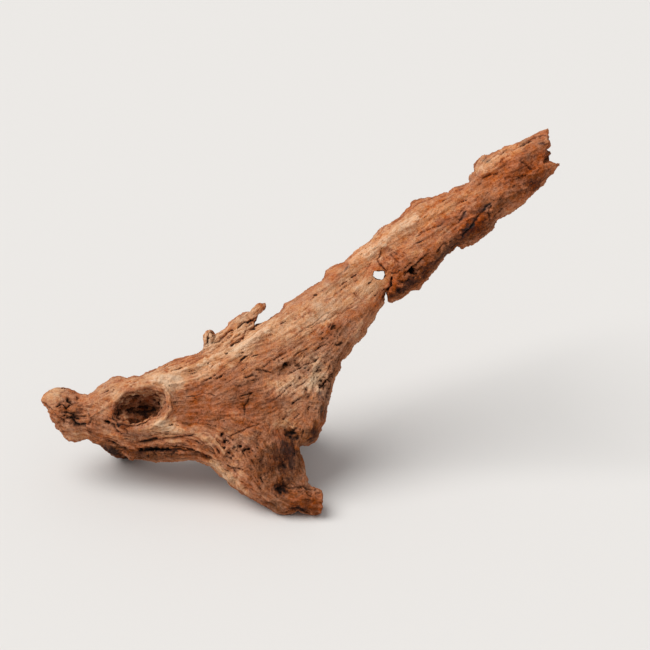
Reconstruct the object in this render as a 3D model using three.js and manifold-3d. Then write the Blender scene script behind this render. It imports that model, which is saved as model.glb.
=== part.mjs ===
// Driftwood: a weathered root stump with one long arm, resting on three roots.
// Millimetres, +Z up, +X to the right, +Y to the back. Origin at the bottom centre of its box.
import * as THREE from 'three';
import { mergeVertices } from 'three/addons/utils/BufferGeometryUtils.js';
import { ImprovedNoise } from 'three/addons/math/ImprovedNoise.js';
import Module from 'manifold-3d';

const wasm = await Module();
wasm.setup();

// Driving dimensions.
// The wood is a flattened slab that leans back. It is shaped lying flat, in slab millimetres:
// u runs along it to the right, w runs up it, and n stands out of its front face.
// u = w = n = 0 is the place where the toe meets the ground.
const LEAN = THREE.MathUtils.degToRad(28.96);
const ROLL = THREE.MathUtils.degToRad(1.27);
// The same place in the standing part, whose origin is the bottom centre of its box.
const TOE_X = -5.08;
const TOE_Y = -95.29;
// The outline was measured by eye from this distance, opposite this point of the slab, so what
// lies nearer to the eye is smaller than it looks there, and what lies further back is larger.
const EYE_DISTANCE = 1611;
const EYE_U = 36;
const EYE_W = 193;

const CELL = 8.1;            // mesh size on the two broad faces
const SWELL_STEP = 3;        // grid of the swelling field
const SWELL_ROUNDS = 260;
const RIM = 2;               // half thickness left at the very edge
const EDGE_FLAT = 9;         // swelling that stays flat beside the edge
const FULLNESS = 0.75;       // lower is rounder, higher is more like a lens
const RELIEF_STARTS = 16;    // swelling at which ridges and lumps have their full height
const GRAIN_ANGLE = THREE.MathUtils.degToRad(38);
const LUMP_LENGTH = 46;      // along the grain
const LUMP_WIDTH = 17;       // across it
const FRONT_LUMPS = 2.4;     // height of the lumps on each face
const BACK_LUMPS = 4;
const FORK_GAP = 0.3;        // between two pieces that meet at a fork
const SLAB_FRONT = 70;         // the slab's faces stay between these
const SLAB_BACK = -75;
const CUT_FRONT = 120;         // a cutting prism reaches past everything
const CUT_BACK = -300;
const GROUND_SPAN = 1200;
const GROUND_DEEP = 200;
const WELD = 1e-4;             // vertices nearer than this are one
const STATION_SOFTNESS = 0.05; // how gently a station's say fades round its centre
const FLUTE_WAVES = 1.6;       // flutes round a root
const FLUTE_TWIST = 2.2;       // and how soon they change along it
const KNOT_WAVES = 3;
const KNOT_PITCH = 6;
const KNOT_SHARE = 0.6;        // height of the knots against the flutes

// Stations that say how the slab's middle lies and how thick it may get there.
// at: u, w. mid: n of the middle. thick: largest full thickness. reach: how far it counts.
const STATIONS = [
  { name: 'nose tip', at: [-240, 110], mid: -8, thick: 34, reach: 26 },
  { name: 'neck', at: [-205, 104], mid: -16, thick: 48, reach: 26 },
  { name: 'hollow', at: [-155, 108], mid: -20, thick: 64, reach: 40 },
  { name: 'upper left', at: [-105, 142], mid: -26, thick: 50, reach: 36 },
  { name: 'crown', at: [-55, 112], mid: -16, thick: 66, reach: 45 },
  { name: 'right flap', at: [18, 100], mid: -8, thick: 38, reach: 36 },
  { name: 'ankle', at: [-25, 42], mid: -6, thick: 44, reach: 26 },
  { name: 'toe', at: [12, 10], mid: 0, thick: 46, reach: 24 },
  { name: 'arm root', at: [5, 172], mid: -16, thick: 50, reach: 45 },
  { name: 'arm middle', at: [88, 245], mid: -22, thick: 34, reach: 45 },
  { name: 'arm upper', at: [165, 300], mid: -14, thick: 38, reach: 45 },
  { name: 'arm end', at: [252, 362], mid: -4, thick: 30, reach: 40 },
];

// Outline of the slab, clockwise from the tip of the nose, in u and w.
const NOSE_TOP = [
  [-253, 116], [-251, 122], [-245, 127], [-237, 130], [-230, 130], [-224, 128], [-219, 125],
  [-212, 122], [-205, 121], [-201, 124], [-194, 131], [-186, 136],
];
const BROW = [
  [-178, 140], [-172, 140], [-166, 139], [-158, 141], [-152, 140], [-145, 144], [-137, 147],
  [-129, 152], [-119, 156], [-114, 160], [-104, 161], [-96, 163], [-89, 168],
];
const TWIG_SEAT = [[-80, 168], [-64, 171], [-46, 182], [-35, 192]];
const TWIG_TOP = [
  [-88, 170], [-87, 174.5], [-88, 179], [-88, 184.5], [-86, 188], [-82, 189.3],
  [-78.5, 188.3], [-77, 185.5], [-76, 184], [-71.5, 185.5], [-67.5, 188], [-63.5, 190],
  [-61, 194], [-58, 197.5], [-54, 200.5], [-50, 203], [-45, 205.7], [-41, 206.5], [-38, 210],
  [-35, 212.7], [-30, 214.3], [-25.5, 214.7], [-24, 213], [-24.5, 211], [-26.5, 207],
  [-30, 203], [-34, 198.5], [-35.5, 196.5], [-35.5, 192],
];
const TWIG_OUTLINE = [[-89, 168], ...TWIG_TOP, [-46, 168], [-80, 146], [-100, 146]];
const ARM_TOP = [
  [-31, 194], [-21, 199], [-11, 205], [-6, 210], [-5, 215], [2, 218], [11, 224], [23, 232],
  [34, 240], [37, 247], [46, 252], [56, 257], [59, 262], [72, 272], [83, 278], [85, 284],
  [96, 293], [112, 302], [116, 307], [126, 319], [134, 322], [145, 323], [156, 327],
  [161, 327], [168, 332], [175, 333], [184, 337], [184, 339], [183, 344], [189, 349],
  [187, 356], [194, 362], [215, 373], [226, 376], [245, 385], [262.5, 392],
];
const ARM_END = [
  [262.8, 385], [261.7, 383.5], [264.5, 378.5], [264, 376], [261, 373], [261.7, 370],
  [264.5, 370], [266.3, 367], [263.6, 364.2], [265, 361.4], [264, 359], [267, 358],
  [270.5, 356.4], [274.4, 356.8],
];
// Where the arm went on before it broke: it is as thick at the break as if it still did.
const ARM_LOST = [[290, 404], [318, 388], [302, 368]];
const ARM_BOTTOM = [
  [273.5, 353.7], [271, 349.5], [267, 345.4], [262.5, 341.4], [259, 336.4], [253.6, 331.4],
  [241, 319], [226, 308], [212, 299],
  [208, 291], [201, 284], [188, 277], [177, 269], [173, 270], [171, 274], [166, 269],
  [159, 262], [152, 252], [142, 241], [135, 233], [130, 228], [124, 228], [114, 219],
  [105, 216], [100, 217],
];
const SLIT = [[99, 226], [98, 230], [97, 225], [97, 214]];
const STUMP_RIGHT = [
  [90, 207], [86, 198], [78, 189], [78, 185], [73, 180], [65, 172], [59, 163], [50, 156],
  [50, 148], [46, 142], [42, 129], [39, 113], [37, 100], [32, 87], [29, 77], [26, 73],
  [18, 71], [10, 70],
];
const FOOT = [
  [11, 62], [14, 51], [16, 41], [20, 33], [26, 28], [32, 24], [34, 19], [33, 12], [34, 7],
  [32, 1], [26, -1], [15, 1], [8, 4], [2, 0], [-7, -1], [-15, 2], [-24, 8], [-34, 14],
  [-44, 19], [-55, 27], [-65, 36], [-75, 43], [-81, 50],
];
const BELLY = [
  [-88, 52], [-97, 55], [-111, 55], [-123, 54], [-137, 54], [-151, 56], [-162, 58],
];
const LOWER_LIP = [[-168, 62], [-178, 67], [-188, 74], [-208, 78]];
const CHIN = [
  [-214, 76], [-224, 76], [-229, 79], [-234, 86], [-238, 93], [-243, 100], [-245, 107],
  [-250, 111],
];
const LEFT_AND_TOP = [...NOSE_TOP, ...BROW, ...TWIG_SEAT, ...ARM_TOP];
const RIGHT_AND_BOTTOM = [
  ...ARM_BOTTOM, ...SLIT, ...STUMP_RIGHT, ...FOOT, ...BELLY, ...LOWER_LIP, ...CHIN,
];
const SLAB_OUTLINE = [...LEFT_AND_TOP, ...ARM_END, ...RIGHT_AND_BOTTOM];
const SWELL_OUTLINE = [...LEFT_AND_TOP, ...ARM_LOST, ...RIGHT_AND_BOTTOM];

// The small hole right through the arm, above the slit.
const THROUGH_HOLE = [
  [84, 244], [86, 248], [90, 248], [95, 249], [97, 248], [98, 243], [95, 239], [89, 239],
  [86, 241],
];

// Strands: ridges and furrows of the face that follow the grain.
// path: u, w points. width: half width. rise: height above the face, below zero for a furrow.
const FRONT_STRANDS = [
  { path: [[-193, 125], [-163, 133], [-127, 141], [-97, 151], [-66, 165]], width: 7, rise: 3 },
  { path: [[-122, 130], [-92, 138], [-66, 156], [-30, 180]], width: 6, rise: 2.5 },
  { path: [[-128, 131], [-122, 118], [-126, 100], [-142, 88], [-162, 88]], width: 6, rise: 4 },
  { path: [[-182, 112], [-172, 126], [-150, 134]], width: 7, rise: 3 },
  { path: [[-132, 92], [-102, 88], [-78, 76], [-60, 52], [-34, 24]], width: 8, rise: 4 },
  { path: [[-208, 82], [-188, 78], [-166, 64], [-132, 59], [-92, 57]], width: 6, rise: 3 },
  { path: [[-160, 76], [-128, 74], [-96, 72]], width: 5, rise: -4 },
  { path: [[-78, 104], [-50, 96], [-28, 84], [-18, 70]], width: 8, rise: 4 },
  { path: [[0, 82], [-3, 60], [-6, 40], [-3, 24]], width: 11, rise: -9 },
  { path: [[11, 62], [15, 40], [28, 26]], width: 5, rise: 3 },
  { path: [[-14, 22], [4, 26], [20, 22], [34, 22]], width: 5, rise: -4 },
  { path: [[-10, 8], [10, 12], [30, 14]], width: 8, rise: 6 },
  { path: [[-10, 206], [56, 252], [110, 296]], width: 9, rise: 2.5 },
  { path: [[20, 206], [70, 232], [118, 266], [180, 316], [255, 378]], width: 8, rise: 3 },
  { path: [[-46, 160], [10, 196], [70, 240]], width: 9, rise: -3 },
  { path: [[140, 258], [190, 300], [250, 345]], width: 9, rise: 3 },
  { path: [[120, 280], [160, 306], [215, 350]], width: 6, rise: -3 },
  { path: [[34, 122], [28, 138], [40, 158]], width: 6, rise: -4 },
  { path: [[98, 232], [102, 240], [98, 250], [94, 262]], width: 4, rise: -3 },
  { path: [[112, 250], [126, 262], [142, 270]], width: 6, rise: 3 },
  { path: [[104, 224], [112, 232], [122, 238]], width: 6, rise: 3 },
  { path: [[-20, 140], [8, 152], [44, 172]], width: 6, rise: -2.5 },
  { path: [[-95, 118], [-60, 128], [-10, 160]], width: 9, rise: 2.5 },
  { path: [[-240, 104], [-222, 108], [-206, 98]], width: 5, rise: -4 },
  { path: [[-226, 116], [-216, 106], [-214, 90]], width: 5, rise: -3 },
];
const BACK_STRANDS = [
  { path: [[-200, 100], [-120, 120], [-40, 150], [40, 205]], width: 12, rise: 6 },
  { path: [[-150, 80], [-90, 96], [-20, 130]], width: 9, rise: -6 },
  { path: [[-70, 60], [-40, 90], [0, 150]], width: 10, rise: 5 },
  { path: [[40, 200], [110, 258], [180, 318]], width: 9, rise: -6 },
  { path: [[180, 318], [225, 345], [270, 375]], width: 12, rise: -11 },
  { path: [[70, 200], [140, 256], [200, 300]], width: 7, rise: 4 },
  { path: [[-20, 60], [0, 30], [16, 10]], width: 8, rise: 4 },
];

// Pits: round hollows worn into the face. at: u, w. size: radius. deep: depth.
const FRONT_PITS = [
  { at: [126, 247], size: 6, deep: 9 },
  { at: [-31, 147], size: 6, deep: 4 },
  { at: [34, 135], size: 8, deep: 5 },
  { at: [22, 157], size: 6, deep: 3.5 },
  { at: [43, 188], size: 5, deep: 3.5 },
  { at: [-176, 88], size: 7, deep: 4 },
  { at: [-47, 72], size: 6, deep: 4 },
  { at: [-62, 68], size: 6, deep: 3.5 },
  { at: [-2, 22], size: 7, deep: 5 },
];

// The knot hollow at the left: a slanting oval bowl that is deepest near its lower lip.
const HOLLOW = {
  at: [-152, 111], long: 27, short: 17, deep: 30, tilt: 17, sink: 5, undercut: 2,
  sides: 22, rings: 14, waves: 2.2, wobble: 0.1,
};

// The broken end of the arm is a shell round a rotted core.
const END_CAVITY = { from: [280, 370, -3], to: [238, 347, -5], wide: 10, narrow: 4, flat: 0.55 };
// The shell's front wall has broken away beside the cavity, and its back wall stands further out.
const END_NOTCH = {
  outline: [
    [261, 373], [259.5, 370.5], [260, 365.5], [259, 362.3], [256.7, 358], [259.5, 356.6],
    [264, 359], [280, 359], [280, 373],
  ],
  behind: -6,
};

// Roots that grow out of the slab's back, down to the ground, and the twig on its upper edge.
// path: u, w, n points. wide and high: half sizes of the section at each point.
// gnarl: how far the knots and flutes of its skin stand out.
const REAR_LEFT_ROOT = {
  path: [[-181, 97, -10], [-175, 86, -42], [-168, 76, -72], [-161, 68, -96], [-158, 67, -112]],
  wide: [32, 25, 20, 15, 8],
  high: [28, 23, 18, 13, 7],
  sides: 16,
  steps: 12,
  gnarl: 3.4,
};
const REAR_ROOT = {
  path: [[-22, 124, -12], [-20, 118, -48], [-6, 108, -88], [-7, 97, -128], [6, 95, -158]],
  wide: [56, 35, 23, 20, 9],
  high: [38, 29, 21, 16, 8],
  sides: 18,
  steps: 16,
  gnarl: 4.5,
};
const TOE = {
  path: [[-14, 22, -8], [4, 14, 2], [22, 12, 7], [38, 11, 5]],
  wide: [15, 14, 13, 10],
  high: [15, 13, 12, 9],
  sides: 14,
  steps: 7,
  gnarl: 1.6,
};
const NOSE_KNOB = {
  path: [[-208, 98, -14], [-226, 102, -11], [-240, 112, -8], [-252, 119, -8]],
  wide: [17, 19, 16, 8],
  high: [17, 17, 15, 8],
  sides: 14,
  steps: 7,
  gnarl: 2,
};
const TWIG = {
  path: [[-92, 156, -22], [-72, 174, -20], [-50, 193, -17], [-34, 207, -14], [-24, 216, -12]],
  wide: [12, 14, 11, 8, 6],
  high: [12, 14, 10, 7, 4],
  sides: 12,
  steps: 14,
  gnarl: 2,
};
const TWIG_SPUR = {
  path: [[-62, 168, -12], [-50, 181, -10], [-42, 189, -11], [-34, 194, -12]],
  wide: [9, 8, 6, 4],
  high: [9, 8, 6, 4],
  sides: 10,
  steps: 7,
  gnarl: 1,
};
const KNOB = {
  path: [[-80, 164, -18], [-82, 174, -16], [-82, 181, -15], [-81, 187, -15]],
  wide: [8, 7, 7.5, 5],
  high: [8, 7, 7.5, 5],
  sides: 10,
  steps: 8,
  gnarl: 0.8,
};

// Forks: each piece is what lies inside its region. Each is parted from the stump along one
// straight line, from seam to seam. cut: the direction from the piece to the stump.
const FORKS = {
  twig: {
    region: [[-90.5, 167.2], [-33.5, 196], [-27, 202], [-16, 213], [-16, 240], [-90.5, 240]],
    cut: [0.45, -0.89],
  },
  long_limb: {
    region: [[-34, 195.5], [-26, 202], [-14, 213], [-14, 260], [180, 460], [360, 460],
      [360, 260], [180, 160], [70, 140], [51, 155]],
    cut: [-0.43, -0.9],
  },
  nose_root: {
    region: [[-199.5, 150], [-211, 60], [-300, 60], [-300, 150]],
    cut: [0.99, -0.13],
  },
  foot_root: {
    region: [[-90, 48.4], [60, 75.2], [60, -30], [-90, -30]],
    cut: [-0.18, 0.98],
  },
};
const REAR_FORKS = {
  rear_left_root: { region: [[-220, 40], [-220, 130], [-120, 130], [-120, 40]], from: -66 },
  rear_root: { region: [[-62, 64], [-62, 175], [44, 175], [44, 64]], from: -66 },
};

// Colours of the wood, one material for each piece.
const WOOD = {
  stump: 0xa3683c,
  long_limb: 0xa86538,
  nose_root: 0x9c6339,
  foot_root: 0x985a33,
  rear_left_root: 0x5f3a22,
  rear_root: 0x7f5030,
  twig: 0xb27a4c,
};
const WOOD_ROUGHNESS = 0.85;

const noise = new ImprovedNoise();

// A lump field stretched along the grain, between about -1 and 1.
function lumps(u, w, side) {
  const along = (u * Math.cos(GRAIN_ANGLE) + w * Math.sin(GRAIN_ANGLE)) / LUMP_LENGTH;
  const across = (-u * Math.sin(GRAIN_ANGLE) + w * Math.cos(GRAIN_ANGLE)) / LUMP_WIDTH;
  const small = noise.noise(along * 2.1, across * 2.1, side + 5);
  return noise.noise(along, across, side) + 0.5 * small;
}

function insideOutline(u, w, outline) {
  let inside = false;
  for (let i = 0, j = outline.length - 1; i < outline.length; j = i, i += 1) {
    const [ui, wi] = outline[i];
    const [uj, wj] = outline[j];
    if ((wi > w) !== (wj > w) && u < ((uj - ui) * (w - wi)) / (wj - wi) + ui) inside = !inside;
  }
  return inside;
}

// The swelling field solves a stretched skin over the outline. Its root is a half circle across a
// straight strip, so the wood is round where it is narrow and full where it is broad.
function swellingOver(outline, step, rounds) {
  const box = new THREE.Box2().setFromPoints(outline.map(([u, w]) => new THREE.Vector2(u, w)));
  box.expandByScalar(2 * step);
  const columns = Math.ceil((box.max.x - box.min.x) / step) + 1;
  const rows = Math.ceil((box.max.y - box.min.y) / step) + 1;
  const skin = new Float64Array(columns * rows);
  const open = [];
  for (let row = 1; row < rows - 1; row += 1) {
    for (let column = 1; column < columns - 1; column += 1) {
      const u = box.min.x + column * step;
      const w = box.min.y + row * step;
      if (insideOutline(u, w, outline)) open.push(row * columns + column);
    }
  }
  const overRelax = 1.9;
  for (let round = 0; round < rounds; round += 1) {
    for (const at of open) {
      const around = skin[at - 1] + skin[at + 1] + skin[at - columns] + skin[at + columns];
      skin[at] += overRelax * ((around + 2 * step * step) / 4 - skin[at]);
    }
  }
  return (u, w) => {
    const x = THREE.MathUtils.clamp((u - box.min.x) / step, 0, columns - 1.001);
    const y = THREE.MathUtils.clamp((w - box.min.y) / step, 0, rows - 1.001);
    const column = Math.floor(x);
    const row = Math.floor(y);
    const low = row * columns + column;
    const bottom = THREE.MathUtils.lerp(skin[low], skin[low + 1], x - column);
    const top = THREE.MathUtils.lerp(skin[low + columns], skin[low + columns + 1], x - column);
    return Math.sqrt(Math.max(THREE.MathUtils.lerp(bottom, top, y - row), 0));
  };
}

function stationBlend(u, w) {
  let weight = 0;
  let mid = 0;
  let thick = 0;
  for (const station of STATIONS) {
    const away = Math.hypot(u - station.at[0], w - station.at[1]) / station.reach;
    const share = 1 / (STATION_SOFTNESS + away ** 3);
    weight += share;
    mid += share * station.mid;
    thick += share * station.thick;
  }
  return { mid: mid / weight, thick: thick / weight };
}

function distanceToPath(u, w, path) {
  let nearest = Infinity;
  for (let i = 1; i < path.length; i += 1) {
    const [u0, w0] = path[i - 1];
    const du = path[i][0] - u0;
    const dw = path[i][1] - w0;
    const along = THREE.MathUtils.clamp(((u - u0) * du + (w - w0) * dw) / (du * du + dw * dw), 0, 1);
    nearest = Math.min(nearest, Math.hypot(u - u0 - along * du, w - w0 - along * dw));
  }
  return nearest;
}

function strandRelief(u, w, strands) {
  let height = 0;
  for (const { path, width, rise } of strands) {
    height += rise * Math.exp(-((distanceToPath(u, w, path) / width) ** 2));
  }
  return height;
}

function pitRelief(u, w) {
  let height = 0;
  for (const { at, size, deep } of FRONT_PITS) {
    height -= deep * Math.exp(-(((u - at[0]) ** 2 + (w - at[1]) ** 2) / (size * size)));
  }
  return height;
}

const swelling = swellingOver(SWELL_OUTLINE, SWELL_STEP, SWELL_ROUNDS);

// Relief fades out at the edge, so that the outline keeps its shape.
function faceHeight(u, w, isFront) {
  const { mid, thick } = stationBlend(u, w);
  const full = swelling(u, w);
  const limit = thick / 2;
  const raised = Math.max(full * full - EDGE_FLAT * EDGE_FLAT, 0);
  const half = RIM + limit * (1 - Math.exp(-raised / (FULLNESS * limit) ** 2));
  const fade = Math.min(full / RELIEF_STARTS, 1);
  if (isFront) {
    const relief = strandRelief(u, w, FRONT_STRANDS) + pitRelief(u, w);
    return mid + half + fade * (relief + FRONT_LUMPS * lumps(u, w, 1));
  }
  return mid - half - fade * (strandRelief(u, w, BACK_STRANDS) + BACK_LUMPS * lumps(u, w, 9));
}

// Geometry to exact solid and back.
function solidOf(geometry) {
  geometry.deleteAttribute('normal');
  geometry.deleteAttribute('uv');
  const merged = mergeVertices(geometry, WELD);
  return new wasm.Manifold(new wasm.Mesh({
    numProp: 3,
    vertProperties: new Float32Array(merged.attributes.position.array),
    triVerts: new Uint32Array(merged.index.array),
  }));
}

function geometryOf(solid) {
  const mesh = solid.getMesh();
  const geometry = new THREE.BufferGeometry();
  geometry.setAttribute('position', new THREE.BufferAttribute(new Float32Array(mesh.vertProperties), 3));
  geometry.setIndex(new THREE.BufferAttribute(new Uint32Array(mesh.triVerts), 1));
  return geometry;
}

function moveVertices(geometry, mover) {
  const position = geometry.attributes.position;
  const point = new THREE.Vector3();
  for (let i = 0; i < position.count; i += 1) {
    point.fromBufferAttribute(position, i);
    mover(point);
    position.setXYZ(i, point.x, point.y, point.z);
  }
  return geometry;
}

// A prism over a flat outline, between n = back and n = front.
function prism(outline, back = CUT_BACK, front = CUT_FRONT) {
  const shape = new THREE.Shape(outline.map(([u, w]) => new THREE.Vector2(u, w)));
  const geometry = new THREE.ExtrudeGeometry(shape, { depth: front - back, bevelEnabled: false });
  geometry.translate(0, 0, back);
  return solidOf(geometry);
}

// The slab's two broad faces over a grid, cut to the outline, with the swollen nose and toe.
function slabSolid() {
  const box = new THREE.Box2().setFromPoints(SLAB_OUTLINE.map(([u, w]) => new THREE.Vector2(u, w)));
  box.expandByScalar(CELL);
  const size = box.getSize(new THREE.Vector2());
  const centre = box.getCenter(new THREE.Vector2());
  const columns = Math.round(size.x / CELL);
  const rows = Math.round(size.y / CELL);
  const sheet = new THREE.BoxGeometry(size.x, size.y, 2, columns, rows, 1);
  sheet.translate(centre.x, centre.y, 0);
  moveVertices(sheet, (point) => {
    point.z = faceHeight(point.x, point.y, point.z > 0);
  });
  const swollen = solidOf(sheet).add(branchSolid(TOE)).add(branchSolid(NOSE_KNOB));
  return swollen.intersect(prism(SLAB_OUTLINE, SLAB_BACK, SLAB_FRONT));
}

// A value between the stations of a path.
function between(values, along) {
  const share = along * (values.length - 1);
  const low = Math.min(Math.floor(share), values.length - 2);
  return THREE.MathUtils.lerp(values[low], values[low + 1], share - low);
}

// A root or branch: a cylinder bent along a curve, with flutes and knots along its sides.
function branchSolid({ path, wide, high, sides, steps, gnarl }) {
  const points = path.map((point) => new THREE.Vector3(...point));
  const curve = new THREE.CatmullRomCurve3(points, false, 'centripetal');
  const cylinder = new THREE.CylinderGeometry(1, 1, 1, sides, steps);
  const seed = path[0][0];
  moveVertices(cylinder, (point) => {
    const along = THREE.MathUtils.clamp(0.5 - point.y, 0, 1);
    const heading = curve.getTangent(along);
    const side = new THREE.Vector3(0, heading.z, -heading.y).normalize();
    const across = new THREE.Vector3().crossVectors(side, heading).normalize();
    const rim = Math.hypot(point.x, point.z);
    const angle = Math.atan2(point.z, point.x);
    const turn = [Math.cos(angle), Math.sin(angle)];
    const [fluteX, fluteY] = turn.map((value) => value * FLUTE_WAVES);
    const [knotX, knotY] = turn.map((value) => value * KNOT_WAVES);
    const flute = noise.noise(fluteX, fluteY, along * FLUTE_TWIST + seed);
    const knot = noise.noise(knotX, knotY, along * KNOT_PITCH + seed);
    const bump = gnarl * (flute + KNOT_SHARE * knot);
    const x = rim * (between(wide, along) + bump) * turn[0];
    const y = rim * (between(high, along) + bump) * turn[1];
    point.copy(curve.getPoint(along)).addScaledVector(across, x).addScaledVector(side, y);
  });
  return outward(solidOf(cylinder));
}

// A bent cylinder can come out inside out, which its volume tells.
function outward(solid) {
  if (solid.volume() > 0) return solid;
  const geometry = geometryOf(solid);
  const index = geometry.index.array;
  for (let i = 0; i < index.length; i += 3) [index[i], index[i + 1]] = [index[i + 1], index[i]];
  return solidOf(geometry);
}

function twigSolid() {
  const grown = branchSolid(TWIG).add(branchSolid(TWIG_SPUR)).add(branchSolid(KNOB));
  return grown.intersect(prism(TWIG_OUTLINE));
}

function hollowSolid() {
  const { at, long, short, deep, sink, undercut, sides, rings, waves, wobble } = HOLLOW;
  const bowl = new THREE.SphereGeometry(1, sides, rings);
  const tilt = THREE.MathUtils.degToRad(HOLLOW.tilt);
  const [u0, w0] = at;
  const front = faceHeight(u0, w0, true);
  moveVertices(bowl, (point) => {
    const rough = noise.noise(waves * point.x, waves * point.y, waves * point.z + 3);
    const x = point.x * long * (1 + wobble * rough);
    const y = point.y * short * (1 + wobble * rough);
    const below = Math.min(point.z, 0);
    point.set(
      u0 + x * Math.cos(tilt) - y * Math.sin(tilt) - undercut * below,
      w0 + x * Math.sin(tilt) + y * Math.cos(tilt) + sink * below,
      front + point.z * deep,
    );
  });
  return outward(solidOf(bowl));
}

function endCavitySolid() {
  const { from, to, wide, narrow, flat } = END_CAVITY;
  const taper = [wide, narrow];
  const core = { path: [from, to], wide: taper, high: taper, sides: 12, steps: 4, gnarl: 2 };
  const geometry = moveVertices(geometryOf(branchSolid(core)), (point) => {
    point.z = from[2] + (point.z - from[2]) * flat;
  });
  return solidOf(geometry);
}

// From slab millimetres to the standing part, with the ground at z = 0.
const ALONG = new THREE.Vector3(1, 0, 0);
const UP = new THREE.Vector3(0, Math.sin(LEAN), Math.cos(LEAN));
const OUT = new THREE.Vector3(0, -Math.cos(LEAN), Math.sin(LEAN));
ALONG.applyAxisAngle(OUT, ROLL);
UP.applyAxisAngle(OUT, ROLL);
function standUp(point) {
  const shrink = 1 - point.z / EYE_DISTANCE;
  const u = EYE_U + (point.x - EYE_U) * shrink;
  const w = EYE_W + (point.y - EYE_W) * shrink;
  const n = point.z;
  point.set(0, 0, 0).addScaledVector(ALONG, u).addScaledVector(UP, w).addScaledVector(OUT, n);
}

function standing(solid) {
  const ground = new THREE.BoxGeometry(GROUND_SPAN, GROUND_SPAN, GROUND_DEEP);
  ground.translate(0, 0, -GROUND_DEEP / 2);
  return solidOf(moveVertices(geometryOf(solid), standUp)).subtract(solidOf(ground));
}

// The whole wood, still lying flat.
function wholeWood() {
  return slabSolid()
    .add(branchSolid(REAR_LEFT_ROOT))
    .add(branchSolid(REAR_ROOT))
    .add(twigSolid())
    .subtract(hollowSolid())
    .subtract(endCavitySolid())
    .subtract(prism(END_NOTCH.outline, END_NOTCH.behind))
    .subtract(prism(THROUGH_HOLE));
}

function shifted(outline, [du, dw]) {
  return outline.map(([u, w]) => [u + FORK_GAP * du, w + FORK_GAP * dw]);
}

const wood = wholeWood();
const pieces = {};
let stump = wood;
for (const [name, { region, from }] of Object.entries(REAR_FORKS)) {
  pieces[name] = wood.intersect(prism(region, CUT_BACK, from));
  stump = stump.subtract(prism(region, CUT_BACK, from + FORK_GAP));
}
for (const [name, { region, cut }] of Object.entries(FORKS)) {
  pieces[name] = stump.intersect(prism(region));
  stump = stump.subtract(prism(shifted(region, cut)));
}
pieces.stump = stump;

const driftwood = new THREE.Group();
driftwood.name = 'driftwood';
for (const [name, color] of Object.entries(WOOD)) {
  const material = new THREE.MeshStandardMaterial({ color, roughness: WOOD_ROUGHNESS, metalness: 0 });
  const geometry = geometryOf(standing(pieces[name]));
  const mesh = new THREE.Mesh(geometry, material);
  mesh.name = name;
  driftwood.add(mesh);
}

// The origin goes to the bottom centre of the box round all the pieces.
for (const mesh of driftwood.children) mesh.geometry.translate(TOE_X, TOE_Y, 0);

export default driftwood;
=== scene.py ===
# %% [markdown]
# A piece of driftwood: a flattened root stump with one long arm, a knot hollow and a broken twig.
# The solids that carry it are loaded first. They stay as they are, and the wood that is seen is
# carved over them, in metres, in the same place.

# %% Load the solids
import itertools
import math
import bpy
import bmesh
import numpy as np
from mathutils import Matrix, Vector
from mathutils.bvhtree import BVHTree


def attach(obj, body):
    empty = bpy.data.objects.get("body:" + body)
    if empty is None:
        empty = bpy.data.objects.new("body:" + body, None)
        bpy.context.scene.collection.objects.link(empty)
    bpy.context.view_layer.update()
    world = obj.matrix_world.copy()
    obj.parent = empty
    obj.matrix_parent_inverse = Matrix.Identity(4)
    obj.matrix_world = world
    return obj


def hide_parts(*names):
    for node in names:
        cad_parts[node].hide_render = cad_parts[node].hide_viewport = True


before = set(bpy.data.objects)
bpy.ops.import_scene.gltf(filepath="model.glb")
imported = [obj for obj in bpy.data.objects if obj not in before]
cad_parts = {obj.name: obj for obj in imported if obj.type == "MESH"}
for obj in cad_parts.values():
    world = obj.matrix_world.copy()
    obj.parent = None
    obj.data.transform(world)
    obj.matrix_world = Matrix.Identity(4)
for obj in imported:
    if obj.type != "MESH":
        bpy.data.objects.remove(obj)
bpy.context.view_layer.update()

print("solids:", ", ".join(sorted(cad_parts)))

# %% [markdown]
# The wood is a slab that leans back, so its own directions are handier than the room's: u runs
# along it to the right, w runs up it, and n stands out of its front face. Ridges, cracks and
# stains are placed by u and w in millimetres, as they are seen from straight in front.

# %% The slab's own directions
MM = 0.001
LEAN = math.radians(28.96)
ROLL = math.radians(1.27)
TOE = np.array((-5.08, -95.29, 0.0))     # where u, w and n are all zero, in millimetres
EYE_DISTANCE = 1611                      # what is nearer to the eye looks larger
EYE_U, EYE_W = 36, 193

OUT = Vector((0, -math.cos(LEAN), math.sin(LEAN)))
roll = Matrix.Rotation(ROLL, 3, OUT)
ALONG = np.array(roll @ Vector((1, 0, 0)))
UP = np.array(roll @ Vector((0, math.sin(LEAN), math.cos(LEAN))))
OUT = np.array(OUT)


def slab_of(points):
    """u, w and n of points that are given in millimetres."""
    away = points - TOE
    n = away @ OUT
    shrink = 1 - n / EYE_DISTANCE
    u = EYE_U + (away @ ALONG - EYE_U) / shrink
    w = EYE_W + (away @ UP - EYE_W) / shrink
    return u, w, n


def place_of(u, w, n=0.0):
    """The place in metres of a point of the slab."""
    shrink = 1 - n / EYE_DISTANCE
    point = ALONG * (EYE_U + (u - EYE_U) * shrink) + UP * (EYE_W + (w - EYE_W) * shrink)
    return Vector((TOE + point + OUT * n) * MM)


EYE = Vector((TOE + ALONG * EYE_U + UP * EYE_W + OUT * EYE_DISTANCE) * MM)
print("the eye is at", [round(value, 3) for value in EYE])

# %% [markdown]
# The real thing grew as one body, so it is carved as one body and parted at its forks at the
# end. That keeps the grain unbroken across each fork. Copies of the solids are merged, pushed
# a little into each other, joined, and wrapped in one even skin by a voxel remesh.

# %% Copy the solids and join them
NODES = sorted(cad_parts)
TOUCH = 0.0006       # solids nearer than this meet at a fork
OVERLAP = 1.6        # how far their end faces are pushed, in gaps


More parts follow.
